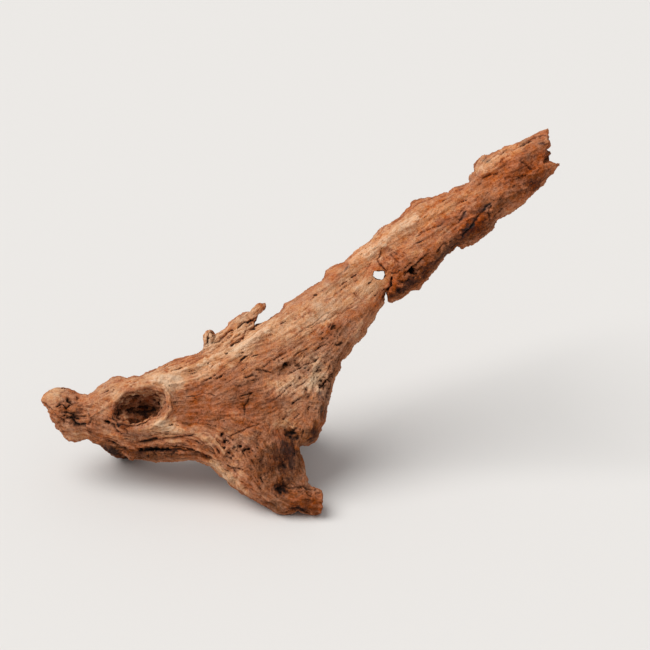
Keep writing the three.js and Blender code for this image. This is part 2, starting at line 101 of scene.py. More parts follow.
def select_only(thing):
    bpy.ops.object.select_all(action="DESELECT")
    thing.select_set(True)
    bpy.context.view_layer.objects.active = thing


def start_edit(thing):
    select_only(thing)
    bpy.ops.object.mode_set(mode="EDIT")
    bpy.ops.mesh.select_all(action="SELECT")


def end_edit():
    bpy.ops.object.mode_set(mode="OBJECT")


def copy_of(node):
    copy = bpy.data.objects.new(node + "_copy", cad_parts[node].data.copy())
    bpy.context.scene.collection.objects.link(copy)
    copy.data.materials.clear()
    start_edit(copy)
    bpy.ops.mesh.remove_doubles(threshold=1e-6)
    end_edit()
    return copy


copies = {node: copy_of(node) for node in NODES}
trees = {}
for node, copy in copies.items():
    corners = [v.co for v in copy.data.vertices]
    trees[node] = BVHTree.FromPolygons(corners, [tuple(p.vertices) for p in copy.data.polygons])
moved = 0
for node, copy in copies.items():
    others = [tree for name, tree in trees.items() if name != node]
    for vertex in copy.data.vertices:
        for tree in others:
            hit = tree.find_nearest(vertex.co, TOUCH)[0]
            if hit is not None:
                vertex.co += (hit - vertex.co) * OVERLAP
                moved += 1
                break
print("end-face corners pushed in:", moved)

# %% [markdown]
# A voxel remesh of the joined copies gives one closed skin with even faces.

# %% Wrap them in one skin
VOXEL = 0.0008       # finer than a pixel of the view, and coarse enough for the largest piece


def apply_modifier(thing, kind, **settings):
    modifier = thing.modifiers.new(kind.title(), kind)
    for name, value in settings.items():
        setattr(modifier, name, value)
    bpy.context.view_layer.objects.active = thing
    bpy.ops.object.modifier_apply(modifier=modifier.name)


bpy.ops.object.select_all(action="DESELECT")
for copy in copies.values():
    copy.select_set(True)
bpy.context.view_layer.objects.active = copies["stump"]
bpy.ops.object.join()
wood = bpy.context.view_layer.objects.active
wood.name = "wood"
apply_modifier(wood, "REMESH", mode="VOXEL", voxel_size=VOXEL, adaptivity=0)
print("skin:", len(wood.data.vertices), "points")

# %% [markdown]
# The solids have broad facets. A Smooth modifier melts them. It works hard on the two broad
# faces and on the roots behind, and lightly at the slab's rim, whose chips are the outline.

# %% Melt the facets


def vectors_of(items, name):
    """One vector of each vertex or face, as rows of numbers."""
    flat = np.empty(3 * len(items), np.float32)
    items.foreach_get(name, flat)
    return flat.reshape(-1, 3).astype(float)


def positions(mesh):
    return vectors_of(mesh.vertices, "co") / MM


def put_positions(mesh, points):
    mesh.vertices.foreach_set("co", (points * MM).astype(np.float32).ravel())
    mesh.update()


def normals_of(mesh):
    return vectors_of(mesh.vertex_normals, "vector")


def ramp(values, low, high):
    """0 below low, 1 above high and smooth between them. Low may be the larger one."""
    share = np.clip((values - low) / (high - low), 0, 1)
    return share * share * (3 - 2 * share)


BROAD_PASSES = 60
RIM_PASSES = 2
GROUP_LEVELS = 8
HOLLOW = [((-151, 110), (31, 20), 1)]
HOLLOW_LIP = 9            # inside the hollow, the skin is lower than this


def ovals(u, w, patches):
    """The sum of soft oval patches. Each one has its centre, its reach and its strength."""
    total = np.zeros(len(u))
    for centre, reach, strength in patches:
        away = ((u - centre[0]) / reach[0]) ** 2 + ((w - centre[1]) / reach[1]) ** 2
        total += strength * np.exp(-away ** 1.5)
    return total


def paint_group(thing, name, weights):
    group = thing.vertex_groups.new(name=name)
    level = np.round(weights * GROUP_LEVELS).astype(int)
    for step in range(1, GROUP_LEVELS + 1):
        chosen = np.nonzero(level == step)[0].tolist()
        if chosen:
            group.add(chosen, step / GROUP_LEVELS, "REPLACE")


points = positions(wood.data)
u, w, n = slab_of(points)
facing = normals_of(wood.data) @ OUT
twig_near = np.exp(-((u + 58) ** 2 + (w - 198) ** 2) / 28 ** 2)
hollow_near = ovals(u, w, HOLLOW) * ramp(n, -30, -20)
broad = np.maximum(ramp(np.abs(facing), 0.45, 0.85), ramp(n, -50, -62))
broad = broad * (1 - 0.8 * twig_near) * (1 - 0.85 * hollow_near)
paint_group(wood, "broad", broad)
apply_modifier(wood, "SMOOTH", iterations=RIM_PASSES, factor=0.5)
apply_modifier(wood, "SMOOTH", iterations=BROAD_PASSES, factor=0.5, vertex_group="broad")
print("smoothed", round(float(broad.mean()), 2), "of the skin hard")

# %% [markdown]
# Wood is read by its grain. The grain of a root runs along it, parts round a knot and runs
# together again behind it. Listed flow lines give its direction, and a grid between them
# gives it everywhere. A direction has no arrow, so the grid holds twice the angle, which is the
# same for both senses.

# %% Which way the grain runs
FLOW = [
    [(-250, 118), (-225, 122), (-200, 122), (-180, 134), (-150, 139), (-115, 152), (-85, 165),
     (-50, 180), (-10, 205), (40, 240), (90, 280), (140, 318), (185, 345), (260, 388)],
    [(-200, 112), (-182, 122), (-165, 131), (-145, 134), (-125, 136), (-95, 145), (-60, 160),
     (-20, 185), (30, 222), (80, 258), (130, 292), (200, 335), (268, 378)],
    [(-235, 105), (-205, 108), (-190, 105), (-182, 97), (-168, 88), (-150, 86), (-132, 92),
     (-110, 90), (-85, 82), (-70, 66), (-55, 48), (-35, 25), (-10, 5)],
    [(-135, 91), (-125, 103), (-123, 118), (-130, 131)],
    [(-180, 100), (-182, 110), (-176, 122)],
    [(-210, 84), (-190, 80), (-165, 70), (-140, 68), (-115, 68), (-92, 66), (-75, 50),
     (-50, 28), (-15, 4)],
    [(-165, 60), (-130, 57), (-95, 58), (-80, 50)],
    [(-115, 118), (-85, 120), (-55, 128), (-20, 145), (15, 165), (45, 190), (75, 222),
     (110, 262), (150, 285), (200, 318), (255, 350)],
    [(-105, 105), (-75, 106), (-45, 108), (-15, 118), (12, 135), (35, 155), (58, 180), (84, 205)],
    [(-60, 95), (-40, 85), (-25, 65), (-18, 45), (-12, 25), (0, 8)],
    [(-8, 95), (0, 80), (5, 60), (10, 40), (20, 25), (30, 12)],
    [(15, 75), (25, 90), (32, 110), (40, 135), (48, 155), (62, 175), (80, 200)],
    [(-20, 88), (5, 98), (22, 120), (34, 145)],
    [(100, 215), (120, 232), (145, 255), (165, 272), (205, 295), (240, 325), (270, 352)],
    [(-15, 8), (5, 10), (32, 12)],
    [(-82, 165), (-83, 188)],
    [(-75, 168), (-55, 190), (-30, 212)],
    [(218, 336), (226, 345), (240, 344), (250, 336)],
]
GRID = 3                       # spacing of the grid
GRID_U, GRID_W = -275, -15     # its lower left corner
COLUMNS, ROWS = 192, 145
LINE_REACH = 4                 # nearer than this, a line's pull grows no more


def leg_distance(u, w, start, end):
    """How far points are from a straight leg, and how far along it they are, from 0 to 1."""
    du, dw = end[0] - start[0], end[1] - start[1]
    share = np.clip(((u - start[0]) * du + (w - start[1]) * dw) / (du * du + dw * dw), 0, 1)
    return np.hypot(u - start[0] - share * du, w - start[1] - share * dw), share


def grain_grid():
    u, w = np.meshgrid(GRID_U + GRID * np.arange(COLUMNS), GRID_W + GRID * np.arange(ROWS))
    doubled = np.zeros(u.shape, complex)
    for line in FLOW:
        for start, end in zip(line, line[1:]):
            angle = math.atan2(end[1] - start[1], end[0] - start[0])
            length = math.hypot(end[0] - start[0], end[1] - start[1])
            distance, _ = leg_distance(u, w, start, end)
            doubled += length * np.exp(2j * angle) / (distance ** 2 + LINE_REACH ** 2) ** 1.5
    return doubled / np.abs(doubled)


GRAIN = grain_grid()
print("grain lines:", len(FLOW))

# %% [markdown]
# Fibres finer than the mesh are drawn by the finish, so it needs to know how far each point is
# along the grain and across it. Both numbers are fitted over the grid: the one should not change
# across the grain, the other not along it. The fit is a least-squares one, solved by steps.

# %% How far along the grain and across it
FIT_STEPS = 500
ALONG_FREE, ACROSS_FREE = 0.3, 0.05     # how strictly each number grows by 1 per millimetre


def slopes(values):
    """How the grid's values change along u and w, per millimetre."""
    corner = values[:-1, :-1]
    return (values[:-1, 1:] - corner) / GRID, (values[1:, :-1] - corner) / GRID


def spread_back(along_u, along_w):
    """The transpose of slopes, which the fit needs."""
    values = np.zeros((ROWS, COLUMNS))
    values[:-1, 1:] += along_u / GRID
    values[1:, :-1] += along_w / GRID
    values[:-1, :-1] -= (along_u + along_w) / GRID
    return values


def fitted(du, dw, free):
    """Values that grow by 1 per mm along (du, dw) where they can, and hold still across it."""

    def weigh(slope_u, slope_w, growth):
        with_it = (slope_u * du + slope_w * dw - growth) * free
        beside = slope_w * du - slope_u * dw
        return spread_back(with_it * du - beside * dw, with_it * dw + beside * du)

    values = np.zeros((ROWS, COLUMNS))
    left = -weigh(*slopes(values), 1)
    step = left.copy()
    size = (left * left).sum()
    for _ in range(FIT_STEPS):
        pushed = weigh(*slopes(step), 0)
        pace = size / (step * pushed).sum()
        values += pace * step
        left -= pace * pushed
        new_size = (left * left).sum()
        step = left + new_size / size * step
        size = new_size
    return values


HEADING = np.angle(GRAIN[:-1, :-1]) / 2
ALONG_GRAIN = fitted(np.cos(HEADING), np.sin(HEADING), ALONG_FREE)
ACROSS_GRAIN = fitted(-np.sin(HEADING), np.cos(HEADING), ACROSS_FREE)


def grid_value(grid, u, w):
    x = np.clip((u - GRID_U) / GRID, 0, COLUMNS - 1.01)
    y = np.clip((w - GRID_W) / GRID, 0, ROWS - 1.01)
    column, row = x.astype(int), y.astype(int)
    right, up = x - column, y - row
    low = grid[row, column] * (1 - right) + grid[row, column + 1] * right
    high = grid[row + 1, column] * (1 - right) + grid[row + 1, column + 1] * right
    return low * (1 - up) + high * up


def grain_angle(u, w):
    return np.angle(grid_value(GRAIN, u, w)) / 2


print("across the slab:", round(float(np.ptp(ACROSS_GRAIN))), "mm of grain")

# %% [markdown]
# Streaks are noise that is smeared along the grain. Each point of the skin looks up and down the
# grain and averages the noise that it meets there, so streaks bend wherever the grain bends.
# The noise is small random lumps in space, so it fits the sides, the back and the roots too.

# %% Noise that follows the grain
TRAIL_STEPS = 6
TRAIL_STRIDE = 2.0
NEAR_STEPS = 3        # the finest streaks are shorter
WAVER = 0.35          # how far the grain wavers, in radians
WAVER_SIZE = 13
ROOT_AXIS = -0.95 * OUT - 0.25 * UP + 0.18 * ALONG
ROOT_AXIS /= np.linalg.norm(ROOT_AXIS)
TABLE = 128           # random numbers along each side of the table
SEED_STEP = 17.31     # each seed starts at another place in the table
RANDOM = np.random.default_rng(7).uniform(-1, 1, TABLE ** 3).astype(np.float32)


def lattice(cells, seed):
    """Smooth random lumps between -1 and 1, one to each unit of cells."""
    cells = cells + SEED_STEP * seed
    base = np.floor(cells)
    share = cells - base
    share = share * share * (3 - 2 * share)
    low = base.astype(np.int64) % TABLE
    high = (low + 1) % TABLE
    total = 0
    for x, x_part in ((low[:, 0], 1 - share[:, 0]), (high[:, 0], share[:, 0])):
        for y, y_part in ((low[:, 1], 1 - share[:, 1]), (high[:, 1], share[:, 1])):
            row = (x * TABLE + y) * TABLE
            line = RANDOM[row + low[:, 2]] * (1 - share[:, 2]) + RANDOM[row + high[:, 2]] * share[:, 2]
            total = total + line * x_part * y_part
    return total


def grain_direction(points, normals):
    u, w, n = slab_of(points)
    angle = grain_angle(u, w) + WAVER * lattice(points / WAVER_SIZE, 3)
    flat = np.cos(angle)[:, None] * ALONG + np.sin(angle)[:, None] * UP
    root = ramp(n, -48, -72)[:, None]
    flat = flat * (1 - root) + ROOT_AXIS * root
    flat -= (flat * normals).sum(1)[:, None] * normals
    return flat / np.maximum(np.linalg.norm(flat, axis=1), 0.3)[:, None]


def grain_trails(points, normals):
    """For each point, the places that it averages: up the grain, itself, and down the grain."""
    trails = [points]
    for sense in (1, -1):
        at = points.copy()
        last = sense * grain_direction(at, normals)
        for _ in range(TRAIL_STEPS):
            at = at + TRAIL_STRIDE * last
            trails.append(at)
            heading = grain_direction(at, normals)
            turn = np.sign((heading * last).sum(1))[:, None]
            last = heading * np.where(turn == 0, 1, turn)
    return trails


def streaks(trails, size, seed):
    total = sum(lattice(trail / size, seed) for trail in trails)
    return (total - total.mean()) / total.std()


points = positions(wood.data)
normals = normals_of(wood.data)
trails = grain_trails(points, normals)
near = trails[:NEAR_STEPS + 1] + trails[TRAIL_STEPS + 1:TRAIL_STEPS + NEAR_STEPS + 1]
short = [trails[at] for at in (0, 1, 2, TRAIL_STEPS + 1, TRAIL_STEPS + 2)]
fine = streaks(near, 1.5, 11)
flakes = streaks(short, 3.0, 14)
middle = streaks(trails, 3.4, 12)
coarse = streaks(trails, 8, 13)
print("streaks follow the grain over", 2 * TRAIL_STEPS * TRAIL_STRIDE, "mm")

# %% [markdown]
# Beside the even grain, the wood has marks of its own: cracks, ridges, worm pits and lips. Each
# is a short stroke along a few points, with a half width and a height in millimetres, below zero
# for a furrow. A stroke wanders a little and fades at its ends, as a tool mark never would.

# %% Strokes on the front face
WANDER = 1.4          # how far a stroke strays from its path
WANDER_SIZE = 6
TREMBLE = 0.6         # and how much it trembles on the way
TREMBLE_SIZE = 2.3
PINCH = 0.7           # how much its width changes
THINNER = 0.15        # and by how much of its width it is thinner than drawn


def stroke(u, w, path, width, ragged):
    """How much of a stroke each point has, from 0 to 1. Ragged numbers widen and pinch it."""
    path = np.array(path, float)
    low, high = path.min(0) - 3 * width, path.max(0) + 3 * width
    near = np.nonzero((u > low[0]) & (u < high[0]) & (w > low[1]) & (w < high[1]))[0]
    mark = np.zeros(len(u))
    wide = width * (1 + ragged[near])
    if len(path) == 1:
        distance = np.hypot(u[near] - path[0, 0], w[near] - path[0, 1])
        mark[near] = np.exp(-(distance / wide) ** 2)
        return mark
    legs = len(path) - 1
    best = np.full(len(near), 1e9)
    share = np.zeros(len(near))
    for leg in range(legs):
        distance, part = leg_distance(u[near], w[near], path[leg], path[leg + 1])
        closer = distance < best
        best[closer] = distance[closer]
        share[closer] = (leg + part[closer]) / legs
    wide *= 0.4 + 0.6 * np.sin(np.pi * share)
    mark[near] = np.exp(-(best / wide) ** 2)
    return mark


# path, half width, height
RIDGES = [
    # the brow and the strands over the hollow
    ([(-193, 125), (-163, 132), (-127, 141), (-97, 151), (-66, 166), (-41, 188)], 3.2, 1.6),
    ([(-186, 130), (-160, 137), (-130, 147), (-100, 157)], 2.2, 1.2),
    ([(-122, 132), (-92, 139), (-66, 155), (-46, 173), (-20, 190)], 2.6, 1.4),
    ([(-110, 131), (-85, 134), (-60, 147), (-38, 165)], 2.2, 1.0),
    ([(-178, 119), (-165, 127), (-148, 132), (-132, 134)], 3.0, 1.6),
    # the rim of the hollow
    ([(-203, 99), (-180, 115), (-164, 126), (-144, 131), (-127, 128)], 2.0, 1.6),
    ([(-128, 131), (-122, 121), (-122, 108), (-128, 97), (-142, 88)], 2.0, 1.8),
    ([(-186, 112), (-184, 104), (-178, 98)], 3.0, 1.2),
    ([(-176, 92), (-160, 87), (-145, 88), (-133, 93)], 3.5, 1.4),
    # the lower body
    ([(-132, 91), (-102, 86), (-76, 76), (-56, 56)], 5, 2.2),
    ([(-209, 77), (-189, 74), (-177, 65), (-167, 57), (-158, 58)], 3.2, 2.4),
    ([(-156, 69), (-130, 72), (-104, 72), (-86, 70)], 2.6, 2.4),
    ([(-150, 60), (-125, 59), (-100, 59), (-84, 55)], 3.5, 1.8),
    # the knot bump above the foot, and the foot
    ([(-87, 77), (-82, 80), (-76, 76), (-79, 71), (-85, 73)], 3.0, 1.2),
    ([(10, 67), (14, 50), (18, 36)], 3.0, 1.5),
    ([(-81, 55), (-60, 36), (-40, 20), (-22, 9), (-6, 1)], 2.5, 0.8),
    ([(-4, 25), (8, 25), (20, 24), (33, 22)], 2.2, 1.6),
    ([(-20, 14), (-2, 18), (6, 21)], 3.0, 1.2),
    ([(-58, 40), (-42, 34), (-30, 24)], 3.0, 1.0),
    # long strands of the arm
    ([(5, 196), (40, 222), (78, 250)], 3.5, 1.3),
    ([(-20, 176), (20, 200), (62, 232)], 3.5, 1.0),
    ([(58, 256), (77, 267), (107, 290), (127, 298)], 6, 0.9),
    ([(120, 292), (150, 308), (185, 330)], 3.5, 1.2),
    ([(42, 206), (58, 214), (70, 218)], 6, 1.4),
    ([(101, 262), (112, 268), (126, 276), (150, 290)], 4, 1.0),
    ([(118, 249), (130, 259), (142, 268)], 2.5, 1.5),
    ([(104, 221), (108, 229), (110, 238)], 2.5, 1.6),
    ([(217, 338), (231, 345), (245, 344), (252, 336)], 3.5, 1.4),
    ([(222, 328), (236, 333), (247, 330)], 3.0, 1.2),
    ([(190, 338), (215, 356), (240, 368), (258, 376)], 3.5, 1.2),
    ([(212, 303), (232, 317), (253, 334), (266, 348)], 3.0, 1.0),
    ([(200, 352), (222, 366), (246, 377)], 2.6, 1.0),
]
CRACKS = [
    # the nose
    ([(-252, 115), (-247, 110), (-240, 106)], 1.8, -1.8),
    ([(-225, 121), (-223, 117), (-221, 113)], 2.0, -3.2),
    ([(-236, 110), (-232, 112), (-228, 110), (-222, 112)], 2.2, -3.4),
    ([(-230, 104), (-226, 103)], 2.4, -3.0),
    ([(-222, 97), (-218, 92), (-214, 90), (-208, 92)], 2.2, -3.4),
    ([(-224, 103), (-216, 101), (-208, 100)], 2.2, -2.4),
    ([(-217, 119), (-214, 117)], 1.8, -2.6),
    ([(-238, 102), (-234, 98), (-230, 92)], 1.8, -1.8),
    ([(-224, 98), (-220, 100), (-215, 97)], 2.2, -2.6),
    ([(-206, 103), (-201, 97), (-208, 90)], 1.6, -1.6),
    # below the hollow
    ([(-188, 95), (-181, 90), (-176, 86), (-171, 81)], 1.5, -2.6),
    ([(-184, 99), (-178, 96)], 1.4, -1.6),
    ([(-172, 97), (-168, 96)], 1.6, -1.8),
    ([(-159, 95), (-154, 97), (-148, 98), (-142, 101)], 1.4, -2.6),
    # the lower body
    ([(-152, 73), (-140, 75), (-128, 77), (-113, 78), (-99, 81)], 1.3, -1.9),
    ([(-157, 68), (-148, 64), (-135, 67), (-122, 65)], 1.8, -3.4),
    ([(-128, 66), (-112, 66), (-98, 64), (-88, 63), (-80, 56)], 1.2, -2.0),
    ([(-126, 72), (-112, 73), (-96, 72)], 1.1, -1.6),
    ([(-155, 65), (-143, 65), (-130, 67)], 2.8, -2.6),
    ([(-154, 73), (-134, 77)], 2.2, -1.6),
    ([(-140, 84), (-124, 82), (-110, 82)], 1.1, -1.3),
    # the crown
    ([(-104, 119), (-95, 121), (-87, 123), (-75, 121)], 1.0, -1.9),
    ([(-49, 121), (-39, 123)], 1.0, -1.5),
    ([(-39, 123), (-43, 116), (-46, 108), (-47, 101)], 1.1, -2.0),
    ([(-60, 80), (-52, 84), (-44, 88), (-31, 92)], 1.1, -1.8),
    ([(-34, 147), (-27, 147), (-19, 144)], 1.4, -2.2),
    ([(-46, 140), (-38, 141), (-31, 140)], 1.2, -1.5),
    ([(-56, 132), (-49, 131)], 1.1, -1.3),
    ([(33, 133), (39, 138), (46, 147)], 1.6, -2.4),
    ([(4, 162), (10, 166), (18, 169)], 1.0, -1.4),
    ([(-28, 150), (-16, 158), (-2, 166)], 1.2, -1.2),
    ([(3, 113), (8, 117), (16, 122)], 1.1, -1.6),
    ([(-6, 151), (0, 153)], 1.5, -1.8),
    ([(14, 152), (22, 156), (29, 160)], 1.3, -2.2),
    ([(5, 151), (10, 152)], 1.2, -1.8),
    # the foot
    ([(-60, 45), (-54, 47), (-49, 46)], 2.0, -2.4),
    ([(-44, 27), (-36, 24)], 1.4, -1.2),
    ([(-4, 27), (4, 26), (14, 28), (27, 26)], 1.6, -1.8),
    ([(-3, 2), (8, 7), (18, 2)], 2.4, -2.0),
    ([(8, 17), (16, 15), (26, 14)], 1.2, -1.0),
    # the twig
    ([(-30, 203), (-35, 198), (-42, 197), (-46, 196), (-54, 190)], 1.5, -3.0),
    ([(-32, 193), (-40, 189), (-44, 187), (-48, 180), (-59, 174)], 1.5, -2.2),
    ([(-59, 188), (-67, 183), (-71, 178), (-77, 174)], 1.4, -2.4),
    ([(-76.5, 187), (-75.5, 181), (-80, 175)], 1.6, -2.2),
    ([(-60, 173), (-68, 168), (-80, 163)], 1.4, -1.6),
    ([(-50, 184), (-58, 179), (-66, 172)], 1.1, -1.3),
    # the arm
    ([(98, 247), (95, 251), (93, 255)], 1.1, -2.6),
    ([(93, 252), (91, 256), (90, 259)], 1.0, -1.7),
    ([(90, 260), (93, 266), (94, 271)], 1.0, -1.7),
    ([(102, 264), (106, 260), (111, 256)], 1.0, -1.4),
    ([(106, 266), (113, 262)], 0.9, -1.1),
    ([(117, 243), (122, 250), (129, 255), (138, 263)], 1.3, -2.4),
    ([(97, 217), (98, 226), (103, 236), (105, 242)], 1.4, -4.2),
    ([(123, 240), (116, 236), (110, 238)], 1.6, -1.8),
    ([(48, 242), (54, 248), (60, 254)], 1.3, -1.0),
    ([(66, 226), (70, 222)], 1.2, -1.2),
    ([(-5, 175), (25, 195), (50, 212)], 1.1, -1.0),
    ([(20, 190), (44, 202), (64, 212)], 1.1, -1.0),
    ([(262, 386), (256, 385), (249, 383), (243, 380), (230, 374), (214, 368)], 1.6, -3.4),
    ([(204, 316), (197, 310), (190, 303), (184, 293), (177, 283)], 2.2, -2.4),
    ([(180, 308), (176, 303), (173, 297)], 1.6, -1.8),
    ([(206, 316), (203, 308), (204, 300)], 1.2, -1.8),
    ([(216, 312), (208, 303)], 1.1, -1.4),
    ([(196, 341), (206, 346), (214, 349)], 1.2, -1.5),
    ([(222, 342), (232, 346), (240, 346)], 1.0, -1.3),
    ([(160, 300), (170, 303), (178, 311)], 1.2, -1.2),
    ([(236, 358), (246, 352), (254, 353)], 1.2, -1.4),
    ([(150, 268), (156, 274), (166, 278)], 1.4, -1.6),
    ([(128, 283), (140, 291), (156, 296)], 1.0, -1.2),
]
# path, radius, depth
PITS = [
    ([(-63, 64), (-60, 61)], 3.0, -3.6),
    ([(-67, 76), (-64, 73)], 2.2, -3.0),
    ([(-59, 57)], 2.0, -2.4),
    ([(-52, 70), (-49, 68)], 1.9, -2.8),
    ([(-47, 65), (-42, 67)], 1.8, -2.8),
    ([(-70, 82), (-67, 80)], 1.8, -2.4),
    ([(-56, 77)], 1.6, -1.6),
    ([(-74, 66), (-71, 62)], 1.8, -2.0),
    ([(-5, 25), (-11, 26)], 4.0, -1.8),
    ([(3, 82)], 5.0, -4.0),
    ([(4, 114)], 1.8, -2.2),
    ([(-7, 153), (-2, 151)], 1.9, -2.4),
    ([(-60, 173)], 1.8, -2.6),
    ([(-160, 94), (-157, 95)], 1.6, -2.4),
    ([(-149, 98), (-143, 100)], 1.8, -2.8),
    ([(-169, 96)], 2.2, -2.6),
    ([(-187, 95), (-184, 92)], 2.4, -2.6),
    ([(-175, 102)], 2.6, -2.4),
    ([(-134, 103)], 2.6, -1.6),
    ([(-118, 63), (-114, 64)], 2.4, -2.0),
    ([(-135, 57)], 2.0, -1.8),
    ([(-144, 59)], 1.6, -1.4),
    ([(34, 133)], 4.0, -3.4),
    ([(19, 120)], 2.4, -2.2),
    ([(11, 140)], 2.2, -2.2),
    ([(29, 147)], 1.8, -2.0),
    ([(7, 153)], 1.6, -1.8),
    ([(44, 189), (47, 193)], 2.4, -2.6),
    ([(33, 178)], 1.8, -1.8),
    ([(48, 172), (53, 175)], 2.2, -2.4),
    ([(17, 128)], 1.6, -1.6),
    ([(-6, 151)], 1.8, -1.8),
    ([(124, 247), (127, 248)], 4.4, -7.0),
    ([(110, 228)], 2.2, -2.2),
    ([(104, 222)], 2.0, -1.4),
    ([(118, 226)], 2.0, -1.6),
    ([(258, 378)], 2.0, -1.2),
]


def front_marks(marks, ragged):
    relief = np.zeros(len(bent_u))
    for path, width, height in marks:
        relief += height * stroke(bent_u, bent_w, path, width, ragged)
    return relief


u, w, n = slab_of(points)
front = ramp(normals @ OUT, -0.05, 0.3) * ramp(n, -62, -45)
wander = [lattice(points / WANDER_SIZE, seed) * WANDER for seed in (21, 22)]
tremble = [lattice(points / TREMBLE_SIZE, seed) * TREMBLE for seed in (23, 24)]
bent_u, bent_w = u + wander[0] + tremble[0], w + wander[1] + tremble[1]
ragged = PINCH * lattice(points / TREMBLE_SIZE, 25) - THINNER
raised = front * front_marks(RIDGES, 0.5 * ragged)
sunk = front * (0.8 * front_marks(CRACKS, ragged) + front_marks(PITS, 1.3 * ragged))
print("ridges, cracks and pits:", len(RIDGES), len(CRACKS), len(PITS))

# %% [markdown]
# Some places are rougher than others: the nose and the top of the foot are eaten by worms, the
# upper left is drawn out in strands, and the crown is worn nearly smooth. Soft round patches say
# how rough each place is. A thin brown skin is left on the crown.

# %% Rough and smooth places
# centre, reach along u and w, how strong
WORM_EATEN = [
    ((-222, 101), (15, 13), 1), ((-60, 69), (15, 14), 1), ((8, 152), (38, 13), 0.8),
    ((38, 130), (14, 22), 0.9), ((-164, 92), (20, 8), 1), ((112, 250), (20, 12), 0.8),
    ((112, 228), (10, 10), 0.7), ((-146, 62), (30, 9), 0.8), ((44, 182), (16, 14), 0.6),
    ((-32, 66), (14, 12), 0.8), ((-8, 26), (12, 8), 0.8),
]
STRANDED = [
    ((-112, 150), (64, 13), 1), ((-60, 170), (34, 20), 1), ((-120, 70), (64, 18), 1),
    ((60, 235), (90, 50), 0.1), ((-72, 58), (20, 20), 0.6), ((-60, 192), (34, 18), 1),
    ((-5, 50), (20, 30), 0.1), ((100, 285), (60, 12), 0.2),
]
FLAKY = [
    ((-40, 120), (75, 36), 0.7), ((110, 262), (36, 22), 1), ((150, 285), (70, 45), 0.8),
    ((230, 345), (50, 34), 1), ((25, 150), (40, 50), 0.8), ((-215, 100), (34, 26), 0.9),
    ((-30, 60), (40, 34), 0.9),
]
KNOBBLY = [
    ((-222, 102), (26, 24), 1.6), ((-35, 55), (45, 36), 1.3), ((-60, 68), (18, 18), 0.4),
    ((20, 140), (44, 46), 0.7), ((-60, 112), (60, 26), 0.45), ((112, 245), (30, 30), 0.8),
    ((240, 350), (36, 26), 0.6), ((-165, 80), (30, 20), 0.6),
]
SMOOTH = [
    ((-247, 120), (13, 10), 0.7), ((-112, 138), (24, 6), 0.8), ((44, 212), (26, 9), 0.7),
    ((20, 10), (16, 8), 0.5), ((91, 244), (11, 9), 0.8), ((-20, 200), (60, 20), 0.2),
    ((62, 232), (70, 24), 0.4), ((130, 285), (50, 24), 0.35),
]

# the brown skin that is left on the crown, and ends in a crisp edge at the pale brow
BROWN_SKIN = [
    (-122, 103), (-120, 117), (-112, 127), (-103, 137), (-91, 136), (-81, 142), (-69, 152),
    (-59, 160), (-41, 168), (-22, 177), (10, 193), (20, 168), (10, 137), (0, 117), (-20, 102),
    (-40, 91), (-66, 85), (-86, 80), (-102, 84), (-114, 93),
]
BROWN_REACH = [((-78, 118), (62, 40), 1)]
SAG_PASSES = 8        # how far the wood sags round a crack, in rings of neighbours
EDGE_PASSES = 1       # and how soft the brown skin's edge is


def inside(u, w, outline):
    """Whether each point is inside a closed outline."""
    result = np.zeros(len(u), bool)
    for (u0, w0), (u1, w1) in zip(outline, outline[1:] + outline[:1]):
        if w0 == w1:
            continue
        crosses = (w0 > w) != (w1 > w)
        result ^= crosses & (u < (u1 - u0) * (w - w0) / (w1 - w0) + u0)
    return result


def ring_blur(values, edges, passes):
    """Averages each point's value with its neighbours' values, a number of times."""
    a, b = edges.T
    count = np.bincount(a, minlength=len(values)) + np.bincount(b, minlength=len(values))
    for _ in range(passes):
        total = np.bincount(a, values[b], len(values)) + np.bincount(b, values[a], len(values))
        values = 0.5 * values + 0.5 * total / np.maximum(count, 1)
    return values


edges = np.empty(2 * len(wood.data.edges), np.int32)
wood.data.edges.foreach_get("vertices", edges)
edges = edges.reshape(-1, 2)

halo = ring_blur(sunk, edges, SAG_PASSES)     # the wood sags a little towards each crack and pit
worm = front * np.clip(ovals(u, w, WORM_EATEN), 0, 1)
stranded = np.clip(front * ovals(u, w, STRANDED) + 0.45 * (1 - front), 0, 1)
flaky = np.clip(front * ovals(u, w, FLAKY) + 0.6 * (1 - front), 0, 1)
calm = 1 - np.clip(front * ovals(u, w, SMOOTH), 0, 0.9)
hollow = ramp(ovals(u, w, HOLLOW), 0.08, 0.3) * ramp(n, HOLLOW_LIP + 3, HOLLOW_LIP - 5)
hollow *= ramp(n, -62, -45)
brown_skin = front * ovals(u, w, BROWN_REACH) * inside(bent_u, bent_w, BROWN_SKIN)
brown_skin = ring_blur(brown_skin, edges, EDGE_PASSES)
print("worm-eaten share:", round(float(worm.mean()), 3), "hollow:", round(float(hollow.mean()), 3))

# %% [markdown]
# Old wood also breaks up into flakes: small plates, longer along the grain than across it, that
# stand at slightly different heights. Each point belongs to the nearest of many scattered
# middles and takes its random height, so the plates meet in crisp edges, as split wood does.

# %% Flakes and sheets
BEND = 3.0                   # how far the fibres stray from the fitted grid
BEND_SIZE = 17
FLAKE = (5.5, 2.0, 2.4)      # millimetres along the grain, across it, and out of the face
SHEET = (17, 5.5, 6)
FRAY = 0.9                   # how ragged the edges of a plate are
FRAY_SIZE = 2.6
SCATTER = 0.42               # how far a middle is from the middle of its cell
PICK_STEP = 104729
REAR = -66                   # the rear roots start this far behind the slab's middle


def pick(cells, seed):
    """A random number between -1 and 1 for each numbered cell."""
    return RANDOM[(cells + PICK_STEP * seed) % RANDOM.size]


